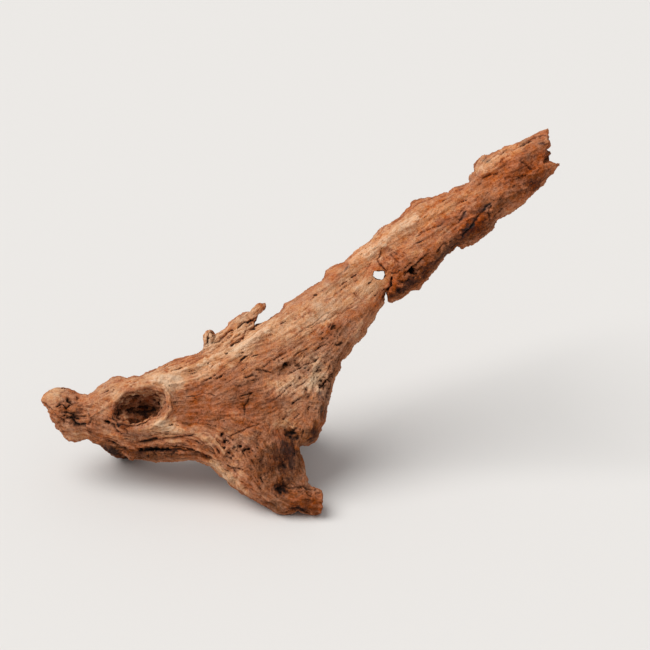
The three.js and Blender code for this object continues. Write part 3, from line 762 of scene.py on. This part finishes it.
def plates(space, size):
    """The number of each point's own plate, and how far it is from the plate's edge."""
    cells = (space / size).astype(np.float32)
    base = np.floor(cells).astype(np.int64)
    nearest = np.full(len(cells), 9, np.float32)
    second = nearest.copy()
    own = np.zeros(len(cells), np.int64)
    for step in itertools.product((-1, 0, 1), repeat=3):
        corner = base + step
        number = (corner % TABLE) @ (TABLE * TABLE, TABLE, 1)
        away = 0
        for axis in range(3):
            middle_of = corner[:, axis] + 0.5 + SCATTER * pick(number, axis + 1)
            away = away + (middle_of - cells[:, axis]) ** 2
        closer = away < nearest
        second = np.where(closer, nearest, np.minimum(second, away))
        own[closer] = number[closer]
        nearest = np.minimum(nearest, away)
    return own, np.sqrt(second) - np.sqrt(nearest)


bend = BEND * lattice(points / BEND_SIZE, 61)
flow = (grid_value(ALONG_GRAIN, u, w), grid_value(ACROSS_GRAIN, u, w) + bend, n)
flow = np.stack(flow, 1)
root_axes = np.stack((ROOT_AXIS, np.cross(ROOT_AXIS, ALONG), ALONG), 1)
space = np.where(n[:, None] < REAR, points @ root_axes, flow)
space = np.where(hollow[:, None] > 0.5, np.stack((u, w, n), 1), space)
space += FRAY * np.stack([lattice(points / FRAY_SIZE, seed) for seed in (62, 63, 64)], 1)
flake_cells, _ = plates(space, FLAKE)
sheet_cells, sheet_edge = plates(space, SHEET)
flake, sheet = pick(flake_cells, 4), pick(sheet_cells, 4)
tint = 0.5 * pick(flake_cells, 5) + 0.7 * pick(sheet_cells, 5)
print("flakes:", len(np.unique(flake_cells)), "sheets:", len(np.unique(sheet_cells)))

# %% [markdown]
# Between the flakes run grooves, and the layers of the wood end in low ledges. Where worms were
# at work there are holes, and small chips have broken out of the edges.

# %% Grooves, ledges, chips and holes
TREAD = 0.9           # height of a ledge, where the wood flakes off in layers
TREAD_SHARE = 0.7     # how much of a ledge is flat, before its riser


def ledges(height):
    """Turns a smooth slope into flat treads, and says where the steep risers between them are."""
    level = height / TREAD
    tread = np.floor(level)
    rise = ramp(level - tread, TREAD_SHARE, 1)
    return TREAD * (tread + rise), 4 * rise * (1 - rise)


def groove(noise, narrow):
    """1 along the lines where the noise crosses zero. They follow the grain, join and part."""
    return np.exp(-(noise / narrow) ** 2)


come_and_go = ramp(lattice(points / 21, 41), -0.35, 0.45)
fade = ramp(lattice(points / 12, 42), -0.2, 0.6)
wide_grooves = groove(middle, 0.24) * come_and_go * stranded
fine_grooves = groove(fine, 0.3) * fade
seams = groove(sheet_edge, 0.09) * ramp(lattice(points / 9, 43), -0.1, 0.4)
splits = ramp(-fine - 0.35 * flakes + 0.5 * worm - 0.25 * flaky + 0.3 * stranded, 2.1, 2.8)
holes = ramp(lattice(points / 3.2, 31) + 0.5 * lattice(points / 1.7, 33), 0.45, 0.8)
chips = ramp(lattice(points / 6.5, 32), 0.45, 0.85)
lumps = lattice(points / 8.5, 34) + 0.5 * lattice(points / 4, 35)
swell = lattice(points / 17, 36)
knobbly = np.clip(front * ovals(u, w, KNOBBLY) + 0.5 * (1 - front), 0, 1.6)
rim = ramp(np.abs(normals @ OUT), 0.6, 0.25) * ramp(n, -60, -45)
print("splits:", round(float(splits.mean()), 4), "holes:", round(float((worm * holes).mean()), 4))

# %% [markdown]
# All of it is added up to one height for each point, in millimetres. Smooth places get less of
# it, the hollow has its own torn wall, and the feet stay flat where they stand on the ground.

# %% Carve the relief
# the main heights and depths, in millimetres
GROOVE_DEPTH = 1.4
LUMP_HEIGHT = 0.75
RIM_BITE = 0.9           # how deep chips and holes bite into the slab's edge
SPLIT_DEPTH = 1.0
HOLE_DEPTH = 1.7
CHIP_DEPTH = 1.3
FLAKED_OFF = 0.4         # the chips' depth where no worm was
SKIN_THICKNESS = 0.7
LEFT_AT_GROUND = 0.15    # share of the relief that is left where the wood meets the ground
# centre, reach, how far the hollow's wall has slumped into it
SLUMPS = [((-150, 94), (26, 8), 11), ((-175, 99), (13, 10), 13), ((-128, 104), (7, 8), 4)]
relief = 0.22 * fine + 0.12 * middle * stranded + 0.6 * swell
relief += (0.1 + 0.15 * flaky + 0.25 * worm) * flake + (0.15 + 0.25 * flaky) * sheet - 0.4 * seams
layers = 0.4 * coarse + 0.2 * middle + 0.25 * flakes + 0.5 * swell + (0.6 + knobbly) * lumps
layered, risers = ledges(layers)
layering = 0.4 + 0.6 * flaky
relief += layering * layered
relief -= GROOVE_DEPTH * wide_grooves + (0.12 + 0.4 * stranded) * fine_grooves
relief += LUMP_HEIGHT * knobbly * lumps - RIM_BITE * rim * (chips + holes)
relief *= calm * (1 - hollow)
eaten = worm * (HOLE_DEPTH * holes + CHIP_DEPTH * chips)
relief -= SPLIT_DEPTH * splits + eaten + FLAKED_OFF * (1 - worm) * chips * flaky
relief += hollow * (1.5 * lumps - 0.4 - 1.2 * holes + 1.2 * sheet + 0.7 * flake)
relief += raised + sunk + 0.5 * halo + SKIN_THICKNESS * brown_skin
off_ground = ramp(points[:, 2], 1.5, 7)
share = LEFT_AT_GROUND + (1 - LEFT_AT_GROUND) * off_ground
slump = hollow * ovals(bent_u, bent_w, SLUMPS)
carved = points + normals * (relief * share)[:, None] + OUT * slump[:, None]
carved[:, 2] = np.maximum(carved[:, 2], 0)
put_positions(wood.data, carved)
print("relief from", round(float(relief.min()), 1), "to", round(float(relief.max()), 1), "mm")

# %% [markdown]
# The colour of old wood follows its shape: raised fibres are bleached pale, and furrows are darkened,
# partly by dirt and partly as painted shade. The tone also carries painted light and shade. Each point
# keeps a few numbers for that, which the finish reads: its tone and streaks, how deep in dirt and
# painted shade it is, how grey, how warm and how fibrous.

# %% Tone of each place
# centre, reach, how much paler (above zero) or darker
BROAD_TONES = [
    # painted shade among these: the hollow's dark floor, the rear root's wedge under the lip, the
    # lower body
    ((-130, 60), (50, 8), -0.5), ((-154, 110), (21, 9), -0.9), ((-20, 112), (40, 26), -0.2),
    ((-95, 102), (20, 12), -0.3), ((-245, 121), (12, 9), 0.3), ((-58, 196), (34, 20), 0.3),
    ((14, 10), (22, 12), -0.35), ((-20, 50), (34, 34), -0.25), ((118, 236), (20, 16), -0.45),
    ((240, 350), (40, 28), -0.2), ((52, 216), (36, 18), 0.3), ((100, 255), (60, 30), 0.15),
    ((160, 305), (50, 22), 0.15), ((-180, 62), (16, 12), -0.5),
    ((-110, 145), (70, 14), 0.35), ((-40, 180), (50, 16), 0.25),
    # painted light and shade, mixed with the wood's own paler and darker places:
    # the crown's right side, the foot, the edges
    ((0, 136), (34, 8), 0.5), ((18, 80), (14, 9), -0.6), ((-60, 142), (14, 9), -0.2),
    ((-106, 160), (20, 7), -0.35), ((-197, 99), (9, 10), -0.3), ((1, 48), (17, 27), -0.85),
    ((20, 12), (16, 14), -0.35), ((-28, 51), (18, 16), -0.45), ((-75, 56), (8, 10), 0.35),
    ((-156, 140), (12, 7), -0.6), ((-94, 130), (10, 8), -0.2), ((-176, 120), (9, 8), 0.9),
    ((-133, 114), (7, 10), -0.3), ((-118, 133), (12, 8), 0.9), ((-108, 95), (12, 7), -0.25),
    ((-116, 79), (16, 5), 0.6), ((-86, 175), (16, 12), 0.9), ((-36, 210), (12, 9), 0.4),
    ((-43, 166), (16, 9), 0.7), ((6, 178), (14, 9), -0.3), ((100, 241), (10, 8), 0.6),
    ((42, 250), (10, 5), 0.5), ((-125, 137), (18, 8), 0.6), ((-130, 92), (8, 7), 0.8),
    ((-101, 95), (9, 6), -0.35), ((-196, 92), (10, 7), -0.45), ((-12, 64), (12, 9), -0.55),
    ((-38, 33), (8, 7), -0.4), ((-13, 13), (14, 6), -0.45), ((92, 242), (8, 6), 0.4),
    ((30, 133), (8, 10), 0.4), ((50, 188), (14, 12), -0.4),
    ((142, 256), (10, 10), -0.5), ((168, 298), (10, 9), -0.4), ((204, 351), (10, 9), 0.35),
    ((198, 320), (12, 8), -0.35), ((-25, 168), (12, 10), -0.35),
    ((79, 232), (18, 9), 0.75), ((135, 298), (14, 14), 0.3), ((160, 310), (14, 8), 0.35),
    ((-8, 128), (18, 8), 0.75), ((-4, 90), (16, 7), 0.7), ((82, 264), (12, 9), 0.5),
    ((60, 246), (10, 7), 0.4), ((-132, 84), (22, 5), 0.45), ((26, 158), (9, 9), 0.35),
    ((108, 302), (8, 6), -0.45), ((-55, 99), (12, 7), 0.35), ((-70, 84), (9, 7), 0.4),
    ((-127, 62), (30, 7), -0.3), ((40, 198), (10, 9), 0.45),
]
# path, half width, how much paler (above zero) or darker
TONES = [
    ([(-165, 138), (-120, 140), (-95, 143), (-75, 150)], 12, 0.5),
    ([(-90, 152), (-60, 165), (-35, 182)], 9, 0.5),
    ([(-193, 126), (-163, 133), (-127, 141), (-97, 151), (-66, 166)], 4, 0.35),
    ([(-125, 132), (-122, 112), (-127, 97), (-142, 88)], 3, 0.3),
    ([(-132, 93), (-118, 92), (-108, 86)], 7, 0.6),
    ([(-132, 91), (-102, 86), (-76, 76), (-56, 56)], 5, 0.3),
    ([(-185, 108), (-196, 100), (-190, 92)], 8, 0.3),
    ([(-245, 121), (-232, 128)], 11, 0.55),
    ([(-81, 55), (-60, 38), (-42, 22)], 5, 0.75),
    ([(-48, 15), (-28, 7), (0, 3), (15, 3)], 5, -0.6),
    # painted shade on the lower edges and under the ledges; further down, painted light and shade
    # mixed with the wood's own paler and darker places
    ([(96, 219), (132, 239), (152, 259), (168, 277), (203, 295), (214, 315), (254, 339)], 9, -0.8),
    ([(61, 173), (48, 158), (36, 117), (28, 86), (22, 76)], 8, -0.5),
    ([(-205, 84), (-193, 76), (-178, 66), (-168, 60)], 7, -1.0),
    ([(-24, 188), (8, 193), (40, 200)], 10, 0.8),
    ([(86, 270), (107, 283), (129, 303)], 12, 0.35),
    ([(2, 217), (30, 219)], 8, -0.3),
    ([(26, 160), (26, 140), (12, 118), (-5, 94)], 7, 0.5),
    ([(190, 350), (205, 362), (225, 372), (240, 378)], 8, 0.8),
    ([(-60, 52), (-44, 38)], 9, 0.45),
    ([(63, 258), (77, 267), (90, 277), (107, 290), (129, 303)], 9, 0.85),
    ([(-60, 172), (-30, 190), (20, 215), (60, 240)], 10, 0.4),
    ([(20, 200), (60, 214), (66, 216)], 10, 0.4),
    ([(-30, 212), (-60, 190), (-80, 172)], 9, 0.4),
    ([(-82, 186), (-82, 172)], 6, 0.3),
    ([(262, 358), (272, 357), (267, 348)], 5, 0.25),
    ([(120, 290), (160, 312), (190, 330)], 8, 0.25),
    ([(-130, 62), (-90, 62)], 8, 0.15),
    ([(-6, 28), (6, 24)], 4, 0.4),
    ([(3, 82), (2, 60), (2, 48)], 8, -0.5),
    ([(-12, 29), (-2, 24)], 9, -0.8),
    ([(22, 78), (26, 90)], 9, -0.35),
    ([(-30, 60), (-22, 40)], 9, -0.3),
    ([(-5, 12), (30, 12)], 12, -0.35),
    ([(-215, 98), (-226, 100)], 12, -0.35),
    ([(-205, 80), (-228, 82)], 8, 0.1),
    ([(31, 117), (34, 105)], 10, -0.35),
    ([(150, 262), (180, 285), (200, 300)], 10, -0.5),
    ([(120, 235), (140, 255)], 9, -0.45),
    ([(105, 222), (115, 230)], 9, -0.3),
    ([(232, 334), (248, 342), (262, 350)], 14, -0.6),
    ([(198, 318), (178, 288)], 9, -0.6),
    ([(235, 362), (256, 364)], 9, -0.2),
    ([(70, 200), (88, 214)], 9, -0.2),
    ([(-150, 60), (-188, 70)], 7, -0.3),
    ([(-157, 68), (-135, 67), (-110, 66), (-82, 58)], 4, -0.55),
    ([(-160, 72), (-140, 76), (-116, 79), (-99, 82)], 3.5, -0.35),
    ([(-206, 81), (-188, 76), (-175, 68), (-163, 60)], 2.2, 0.7),
    ([(-211, 75), (-194, 69), (-182, 62), (-170, 55)], 4.5, -1.0),
]
# centre, reach, how much redder and deeper
WARM = [
    ((240, 350), (50, 34), 0.9), ((160, 300), (56, 30), 0.9), ((22, 10), (24, 14), 0.8),
    ((90, 250), (50, 34), 0.7), ((-50, 110), (60, 26), 0.3), ((118, 240), (24, 18), 0.4),
    ((22, 138), (32, 34), -0.8),
]
# path, half width, how grey
GREYS = [
    ([(48, 242), (60, 254)], 3.5, 0.7),
    ([(197, 360), (203, 361)], 4, 0.6),
    ([(254, 378), (260, 377)], 3, 0.6),
    ([(232, 374), (248, 382)], 3, 0.5),
    ([(204, 316), (190, 303), (177, 283)], 4, 0.9),
    ([(180, 308), (174, 298)], 3, 0.8),
    ([(31, 118), (38, 128)], 6, 0.6),
    ([(8, 150), (30, 152)], 9, 0.3),
    ([(-222, 96), (-210, 92)], 8, 0.3),
    ([(150, 290), (160, 300)], 8, 0.3),
    ([(-14, 28), (-6, 19)], 6, 0.6),
    ([(-4, 78), (-8, 62)], 8, 0.35),
    ([(-24, 118), (-6, 128)], 9, 0.25),
    ([(34, 108), (36, 100)], 6, 0.5),
    ([(-172, 84), (-150, 76)], 6, 0.35),
]


DIRT_AND_SHADE_PASSES = 14      # dirt and painted shade sit in what is lower than its neighbours, this many rings round

tone = front_marks(TONES, ragged) + ovals(bent_u, bent_w, BROAD_TONES)
# painted shade: the rear roots darken the farther back they sit; faces turned from the front are
# darker too
tone = front * tone - 0.25 * (1 - front) - 0.45 * ramp(n, -40, -75)
tone += 0.06 * coarse + 0.2 * lattice(points / 30, 51) + 0.08 * flakes + 0.35 * front * halo
# the risers between the ledges are darkened: painted shade
tone += 0.08 * flake + 0.08 * sheet - 0.35 * layering * risers * (1 - hollow) - 0.35 * brown_skin
tone += hollow * (0.45 * sheet + 0.45 * flake + 0.4 * lumps - 0.05)
grey = front * np.clip(front_marks(GREYS, ragged) * (0.7 - 0.5 * middle), 0, 0.8)
hollowed = ring_blur(relief, edges, DIRT_AND_SHADE_PASSES) - relief
# depth darkens cracks, pits, grooves and the hollow: partly dirt, partly painted shade in the recesses
depth = 0.45 * hollowed - 0.06 + 0.3 * worm * holes + 0.6 * splits - 0.18 * sunk - 0.05 * raised
depth += 0.38 * wide_grooves + (0.05 + 0.15 * stranded) * fine_grooves + 0.2 * seams
depth = np.clip(depth + 0.25 * hollow * ramp(-sheet - flake, 0.1, 0.8), 0, 1)
warm = front * ovals(u, w, WARM) + 0.2 * tint
# streaks are darker where the skin lies lower than its neighbours: painted shade
streak = (1 - 0.8 * hollow) * (0.7 * fine + 0.9 * stranded * middle) - 0.6 * hollowed
fibrous = (1 - 0.8 * hollow) * (1 - 0.4 * worm)
fibrous *= 0.5 - 0.15 * knobbly - 0.15 * flaky + 0.6 * stranded
print("tone from", round(float(tone.min()), 2), "to", round(float(tone.max()), 2))


def keep_number(mesh, name, values):
    layer = mesh.attributes.new(name, "FLOAT", "POINT")
    layer.data.foreach_set("value", np.asarray(values, np.float32))


NUMBERS = {
    "tone": tone, "streak": streak, "depth": depth, "grey": grey, "warm": warm, "fibrous": fibrous,
}
for name, values in NUMBERS.items():
    keep_number(wood.data, name, values)


def keep_places(mesh, name, values):
    layer = mesh.attributes.get(name) or mesh.attributes.new(name, "FLOAT_VECTOR", "POINT")
    layer.data.foreach_set("vector", np.asarray(values, np.float32).ravel())


keep_places(wood.data, "flow", flow)

# %% [markdown]
# A mesh this fine is more than the rear needs, so a Decimate modifier thins it there. Its vertex
# group holds the front back, and its factor is small, so that sharp places stay behind as well.

# %% Thin the rear of the mesh
KEPT = 0.52           # share of the triangles that stay
FRONT_GUARD = 3e-5    # how much dearer it is to take a triangle of the front

rear = 1 - ramp(normals_of(wood.data) @ OUT, -0.35, 0.0) * ramp(n, -50, -40)
wood.vertex_groups.clear()
paint_group(wood, "rear", rear)
apply_modifier(
    wood, "DECIMATE", ratio=KEPT, vertex_group="rear", vertex_group_factor=FRONT_GUARD
)
print("thinned to", len(wood.data.polygons), "faces")

# %% [markdown]
# Now the wood is parted at its forks. A bisect puts a straight row of edges across each fork,
# where two of the solids meet. Then each piece takes its faces, and its open end is closed.

# %% Put an edge row across each fork
REACH = 14       # only faces this near to a fork are cut
SEAMS = {
    "twig": [(-90.5, 167.2), (-33.5, 196)],
    "long_limb": [(-34, 195.5), (51, 155)],
    "nose_root": [(-199.5, 150), (-211, 60)],
    "foot_root": [(-90, 48.4), (60, 75.2)],
}
REGIONS = {
    "twig": [(-90.5, 167.2), (-33.5, 196), (-27, 202), (-16, 213), (-16, 240), (-90.5, 240)],
    "long_limb": [(-34, 195.5), (-26, 202), (-14, 213), (-14, 260), (180, 460), (360, 460),
                  (360, 260), (180, 160), (70, 140), (51, 155)],
    "nose_root": [(-199.5, 150), (-211, 60), (-300, 60), (-300, 150)],
    "foot_root": [(-90, 48.4), (60, 75.2), (60, -30), (-90, -30)],
}
REAR_REGIONS = {
    "rear_left_root": [(-220, 40), (-220, 130), (-120, 130), (-120, 40)],
    "rear_root": [(-62, 64), (-62, 175), (44, 175), (44, 64)],
}


def face_places(mesh):
    return slab_of(vectors_of(mesh.polygons, "center") / MM)


def select_faces(mesh, chosen):
    mesh.vertices.foreach_set("select", np.zeros(len(mesh.vertices), bool))
    mesh.edges.foreach_set("select", np.zeros(len(mesh.edges), bool))
    mesh.polygons.foreach_set("select", chosen)


def bisect_faces(thing, chosen, spot, across):
    select_only(thing)
    select_faces(thing.data, chosen)
    bpy.ops.object.mode_set(mode="EDIT")
    bpy.ops.mesh.bisect(plane_co=spot, plane_no=across, use_fill=False)
    end_edit()


for name, region in REAR_REGIONS.items():
    u, w, n = face_places(wood.data)
    chosen = inside(u, w, region) & (np.abs(n - REAR) < REACH)
    bisect_faces(wood, chosen, place_of(0, 100, REAR), Vector(OUT))
for name, (start, end) in SEAMS.items():
    u, w, n = face_places(wood.data)
    distance, _ = leg_distance(u, w, start, end)
    spot = place_of(*start)
    across = (place_of(*end) - spot).cross(EYE - spot).normalized()
    bisect_faces(wood, (distance < REACH) & (n > REAR), spot, across)
print("after the fork cuts:", len(wood.data.polygons), "faces")

# %% Part the pieces and close their ends


def region_faces(mesh, name):
    u, w, n = face_places(mesh)
    if name in REAR_REGIONS:
        return inside(u, w, REAR_REGIONS[name]) & (n < REAR)
    return inside(u, w, REGIONS[name])


def part_off(thing, name):
    select_only(thing)
    select_faces(thing.data, region_faces(thing.data, name))
    bpy.ops.object.mode_set(mode="EDIT")
    bpy.ops.mesh.separate(type="SELECTED")
    end_edit()
    piece = [found for found in bpy.context.selected_objects if found is not thing][0]
    piece.name = name
    return piece


def close_ends(piece):
    start_edit(piece)
    bpy.ops.mesh.select_all(action="DESELECT")
    bpy.ops.mesh.select_non_manifold(extend=False, use_wire=False, use_multi_face=False,
                                     use_non_contiguous=False, use_verts=False)
    bpy.ops.mesh.mark_sharp()
    bpy.ops.mesh.select_all(action="SELECT")
    bpy.ops.mesh.fill_holes(sides=0)
    bpy.ops.mesh.select_all(action="SELECT")
    bpy.ops.mesh.normals_make_consistent(inside=False)
    end_edit()


pieces = {name: part_off(wood, name) for name in [*REAR_REGIONS, *SEAMS]}
wood.name = "stump_wood"
pieces["stump"] = wood
for name, piece in pieces.items():
    piece.name = name + "_wood"
    piece.data.name = name + "_wood"
    piece.vertex_groups.clear()
    close_ends(piece)
    bpy.ops.object.shade_smooth()


def open_edges(mesh):
    shape = bmesh.new()
    shape.from_mesh(mesh)
    count = sum(not edge.is_manifold for edge in shape.edges)
    shape.free()
    return count


for name in REAR_REGIONS:
    keep_places(pieces[name].data, "flow", positions(pieces[name].data) @ root_axes)

for name, piece in pieces.items():
    mesh = piece.data
    mesh.calc_loop_triangles()
    print(name, len(mesh.loop_triangles), "triangles, open edges", open_edges(mesh))

# %% [markdown]
# The finish is bare root wood that sea and sand have worn: no varnish, so it is matt, with
# fibres that scatter light. Its colour runs from furrows darkened by dirt and painted shade to
# bleached tan ridges.

# %% Colours and nodes


def linear(hex_colour):
    """An sRGB hex colour as the linear numbers that a shader takes."""
    parts = [int(hex_colour[at:at + 2], 16) / 255 for at in (1, 3, 5)]
    values = [c / 12.92 if c <= 0.04045 else ((c + 0.055) / 1.055) ** 2.4 for c in parts]
    return (*values, 1.0)


def add_node(tree, kind, settings=None, links=None):
    """Adds a node. settings are its own properties or its sockets' values, links its inputs."""
    made = tree.nodes.new(kind)
    for name, value in (settings or {}).items():
        if isinstance(name, int) or name in made.inputs:
            made.inputs[name].default_value = value
        else:
            setattr(made, name, value)
    for name, source in (links or {}).items():
        tree.links.new(source, made.inputs[name])
    return made


def set_stops(ramp_node, stops):
    elements = ramp_node.color_ramp.elements
    while len(elements) < len(stops):
        elements.new(0.5)
    for element, (place, colour) in zip(elements, stops):
        element.position = place
        element.color = linear(colour)


WOOD_STOPS = [
    (0.0, "#2c170f"), (0.14, "#502c1c"), (0.28, "#774629"), (0.42, "#985f41"), (0.56, "#b57654"),
    (0.7, "#ca936c"), (0.84, "#d8a680"), (1.0, "#e3bb98"),
]
# dark brown for dirt and painted shade in furrows, cracks, pits and the hollow
FURROW_DIRT_AND_SHADE = "#1a0f0a"
STAIN = "#3f3a3a"
# lengths in millimetres: along the grain, across it, and out of the face
# the real fibres and grit are finer, and would flicker, so both are drawn coarser here
FIBRE = (10.0, 1.6, 4.0)
BAND = (40.0, 4.5, 9.0)
GRIT_SIZE = 1.6
BLOTCH_SIZE = 5.0
PATCH_SIZE = 24.0
BUMP_DEPTH = 0.0014      # metres

# how each number of the finish is put together: its base, and the share of each part
MIXTURES = {
    "value": (0.55, {"tone": 0.3, "streak": 0.045, "fibres": 0.32, "bands": 0.08, "grit": 0.38}),
    "hue": (0.5, {"patches": 0.022, "blotches": 0.012, "warm": -0.007}),
    "saturation": (1.02, {"bands": -0.2, "blotches": -0.4, "patches": -0.3, "warm": 0.1}),
    "dirt_and_shade": (0.0, {"depth": 1.0, "fibres": -0.5}),
    "height": (0.0, {"fibres": 1.0, "grit": 1.1}),
}


def weathered_wood(name, tone_shift):
    """Bare driftwood root: matt and dry, with pale fibres, and furrows darkened by dirt and painted
    shade. The eye reads it as old wood by its streaks along the grain and its rust-brown to tan
    colours."""
    material = bpy.data.materials.new(name)
    material.use_nodes = True
    tree = material.node_tree
    tree.nodes.clear()
    parts = {}
    for key in NUMBERS:
        read = add_node(tree, "ShaderNodeAttribute", {"attribute_name": key})
        parts[key] = read.outputs["Fac"]
    flow = add_node(tree, "ShaderNodeAttribute", {"attribute_name": "flow"}).outputs["Vector"]
    place = add_node(tree, "ShaderNodeTexCoord").outputs["Object"]
    patterns = {
        "fibres": (flow, FIBRE), "bands": (flow, BAND), "grit": (place, [GRIT_SIZE * MM] * 3),
        "blotches": (place, [BLOTCH_SIZE * MM] * 3), "patches": (place, [PATCH_SIZE * MM] * 3),
    }
    for key, (source, sizes) in patterns.items():
        scaled = add_node(
            tree, "ShaderNodeVectorMath",
            {"operation": "MULTIPLY", 1: [1 / size for size in sizes]}, {0: source},
        )
        lumpy = add_node(
            tree, "ShaderNodeTexNoise", {"Scale": 1.0, "Detail": 2.0, "Roughness": 0.6},
            {"Vector": scaled.outputs[0]},
        )
        settings = {"operation": "SUBTRACT", 1: 0.5}
        centred = add_node(tree, "ShaderNodeMath", settings, {0: lumpy.outputs["Fac"]})
        parts[key] = centred.outputs[0]
    strength = {0: parts["fibres"], 1: parts["fibrous"]}
    fibres = add_node(tree, "ShaderNodeMath", {"operation": "MULTIPLY"}, strength)
    parts["fibres"] = fibres.outputs[0]
    for key, (base, shares) in MIXTURES.items():
        for part, share in shares.items():
            settings = {"operation": "MULTIPLY_ADD", 1: share, 2: base}
            if key == "value":
                settings[2] += tone_shift
            links = {0: parts[part], 2: parts[key]} if key in parts else {0: parts[part]}
            parts[key] = add_node(tree, "ShaderNodeMath", settings, links).outputs[0]

    colour = add_node(tree, "ShaderNodeValToRGB", {}, {"Fac": parts["value"]})
    set_stops(colour, WOOD_STOPS)
    links = {"Hue": parts["hue"], "Saturation": parts["saturation"], "Color": colour.outputs["Color"]}
    varied = add_node(tree, "ShaderNodeHueSaturation", {}, links)
    coat = varied.outputs["Color"]
    for key, covering in {"grey": STAIN, "dirt_and_shade": FURROW_DIRT_AND_SHADE}.items():
        settings = {"data_type": "RGBA", "clamp_factor": True, 7: linear(covering)}
        coat = add_node(tree, "ShaderNodeMix", settings, {0: parts[key], 6: coat}).outputs[2]
    links = {"Height": parts["height"]}
    bump = add_node(tree, "ShaderNodeBump", {"Strength": 1.0, "Distance": BUMP_DEPTH}, links)
    shader = add_node(
        tree, "ShaderNodeBsdfPrincipled",
        {"Roughness": 0.85, "Specular IOR Level": 0.2, "Metallic": 0.0, "IOR": 1.45},
        {"Base Color": coat, "Normal": bump.outputs["Normal"]},
    )
    add_node(tree, "ShaderNodeOutputMaterial", {}, {"Surface": shader.outputs["BSDF"]})
    return material


MATERIALS = {
    "weathered_wood": weathered_wood("worn_root_wood", 0.0),
    # the rear roots: a darker stain, and painted shade, as they sit behind the body
    "dark_wood": weathered_wood("stained_and_shaded_root_wood", -0.1),
}

# %% Dress the pieces, hang them on the root body and hide their solids
SLOT_OF = {name: "weathered_wood" for name in pieces}
SLOT_OF["rear_left_root"] = SLOT_OF["rear_root"] = "dark_wood"
for name, piece in pieces.items():
    piece.data.materials.clear()
    piece.data.materials.append(MATERIALS[SLOT_OF[name]])
    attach(piece, "root")
    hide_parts(name)
print("pieces:", len(pieces))

# %% [markdown]
# The floor is plain and pale. The light is a wide window, high on the left and in front, as even
# as a sun but with soft shadows, and a pale room round it fills the furrows a little.

# %% Floor, light and camera
FLOOR_SIZE = 12.0
WINDOW_STRENGTH = 2.6
WINDOW_SPREAD = 48       # degrees: how wide the window looks from the wood
ROOM_STRENGTH = 0.5
bpy.ops.object.select_all(action="DESELECT")
bpy.ops.mesh.primitive_plane_add(size=FLOOR_SIZE)
floor = bpy.context.active_object
floor.name = "floor"
floor_paint = bpy.data.materials.new("pale_floor")
floor_paint.use_nodes = True
floor_shader = floor_paint.node_tree.nodes["Principled BSDF"]
floor_shader.inputs["Base Color"].default_value = linear("#dddad6")
floor_shader.inputs["Roughness"].default_value = 0.9
floor.data.materials.append(floor_paint)


def aim(thing, target):
    thing.rotation_euler = (Vector(target) - thing.location).to_track_quat("-Z", "Y").to_euler()


sun = bpy.data.lights.new("window_light", "SUN")
sun.energy = WINDOW_STRENGTH
sun.angle = math.radians(WINDOW_SPREAD)
window_light = bpy.data.objects.new("window_light", sun)
bpy.context.scene.collection.objects.link(window_light)
window_light.location = (-1.25, -0.45, 2.2)
aim(window_light, (0, 0, 0))
room = bpy.data.worlds.new("pale_room")
room.use_nodes = True
room.node_tree.nodes["Background"].inputs["Color"].default_value = linear("#f4f5f7")
room.node_tree.nodes["Background"].inputs["Strength"].default_value = ROOM_STRENGTH
bpy.context.scene.world = room
bpy.context.scene.view_settings.view_transform = "Standard"

LENS = 87.74
lens = bpy.data.cameras.new("camera")
lens.lens = LENS
lens.sensor_width = 36
camera = bpy.data.objects.new("camera", lens)
bpy.context.scene.collection.objects.link(camera)
facing_axes = Matrix((ALONG, UP, OUT)).transposed().to_4x4()
camera.matrix_world = Matrix.Translation(EYE) @ facing_axes
bpy.context.scene.camera = camera
print("camera at", [round(value, 3) for value in camera.location])
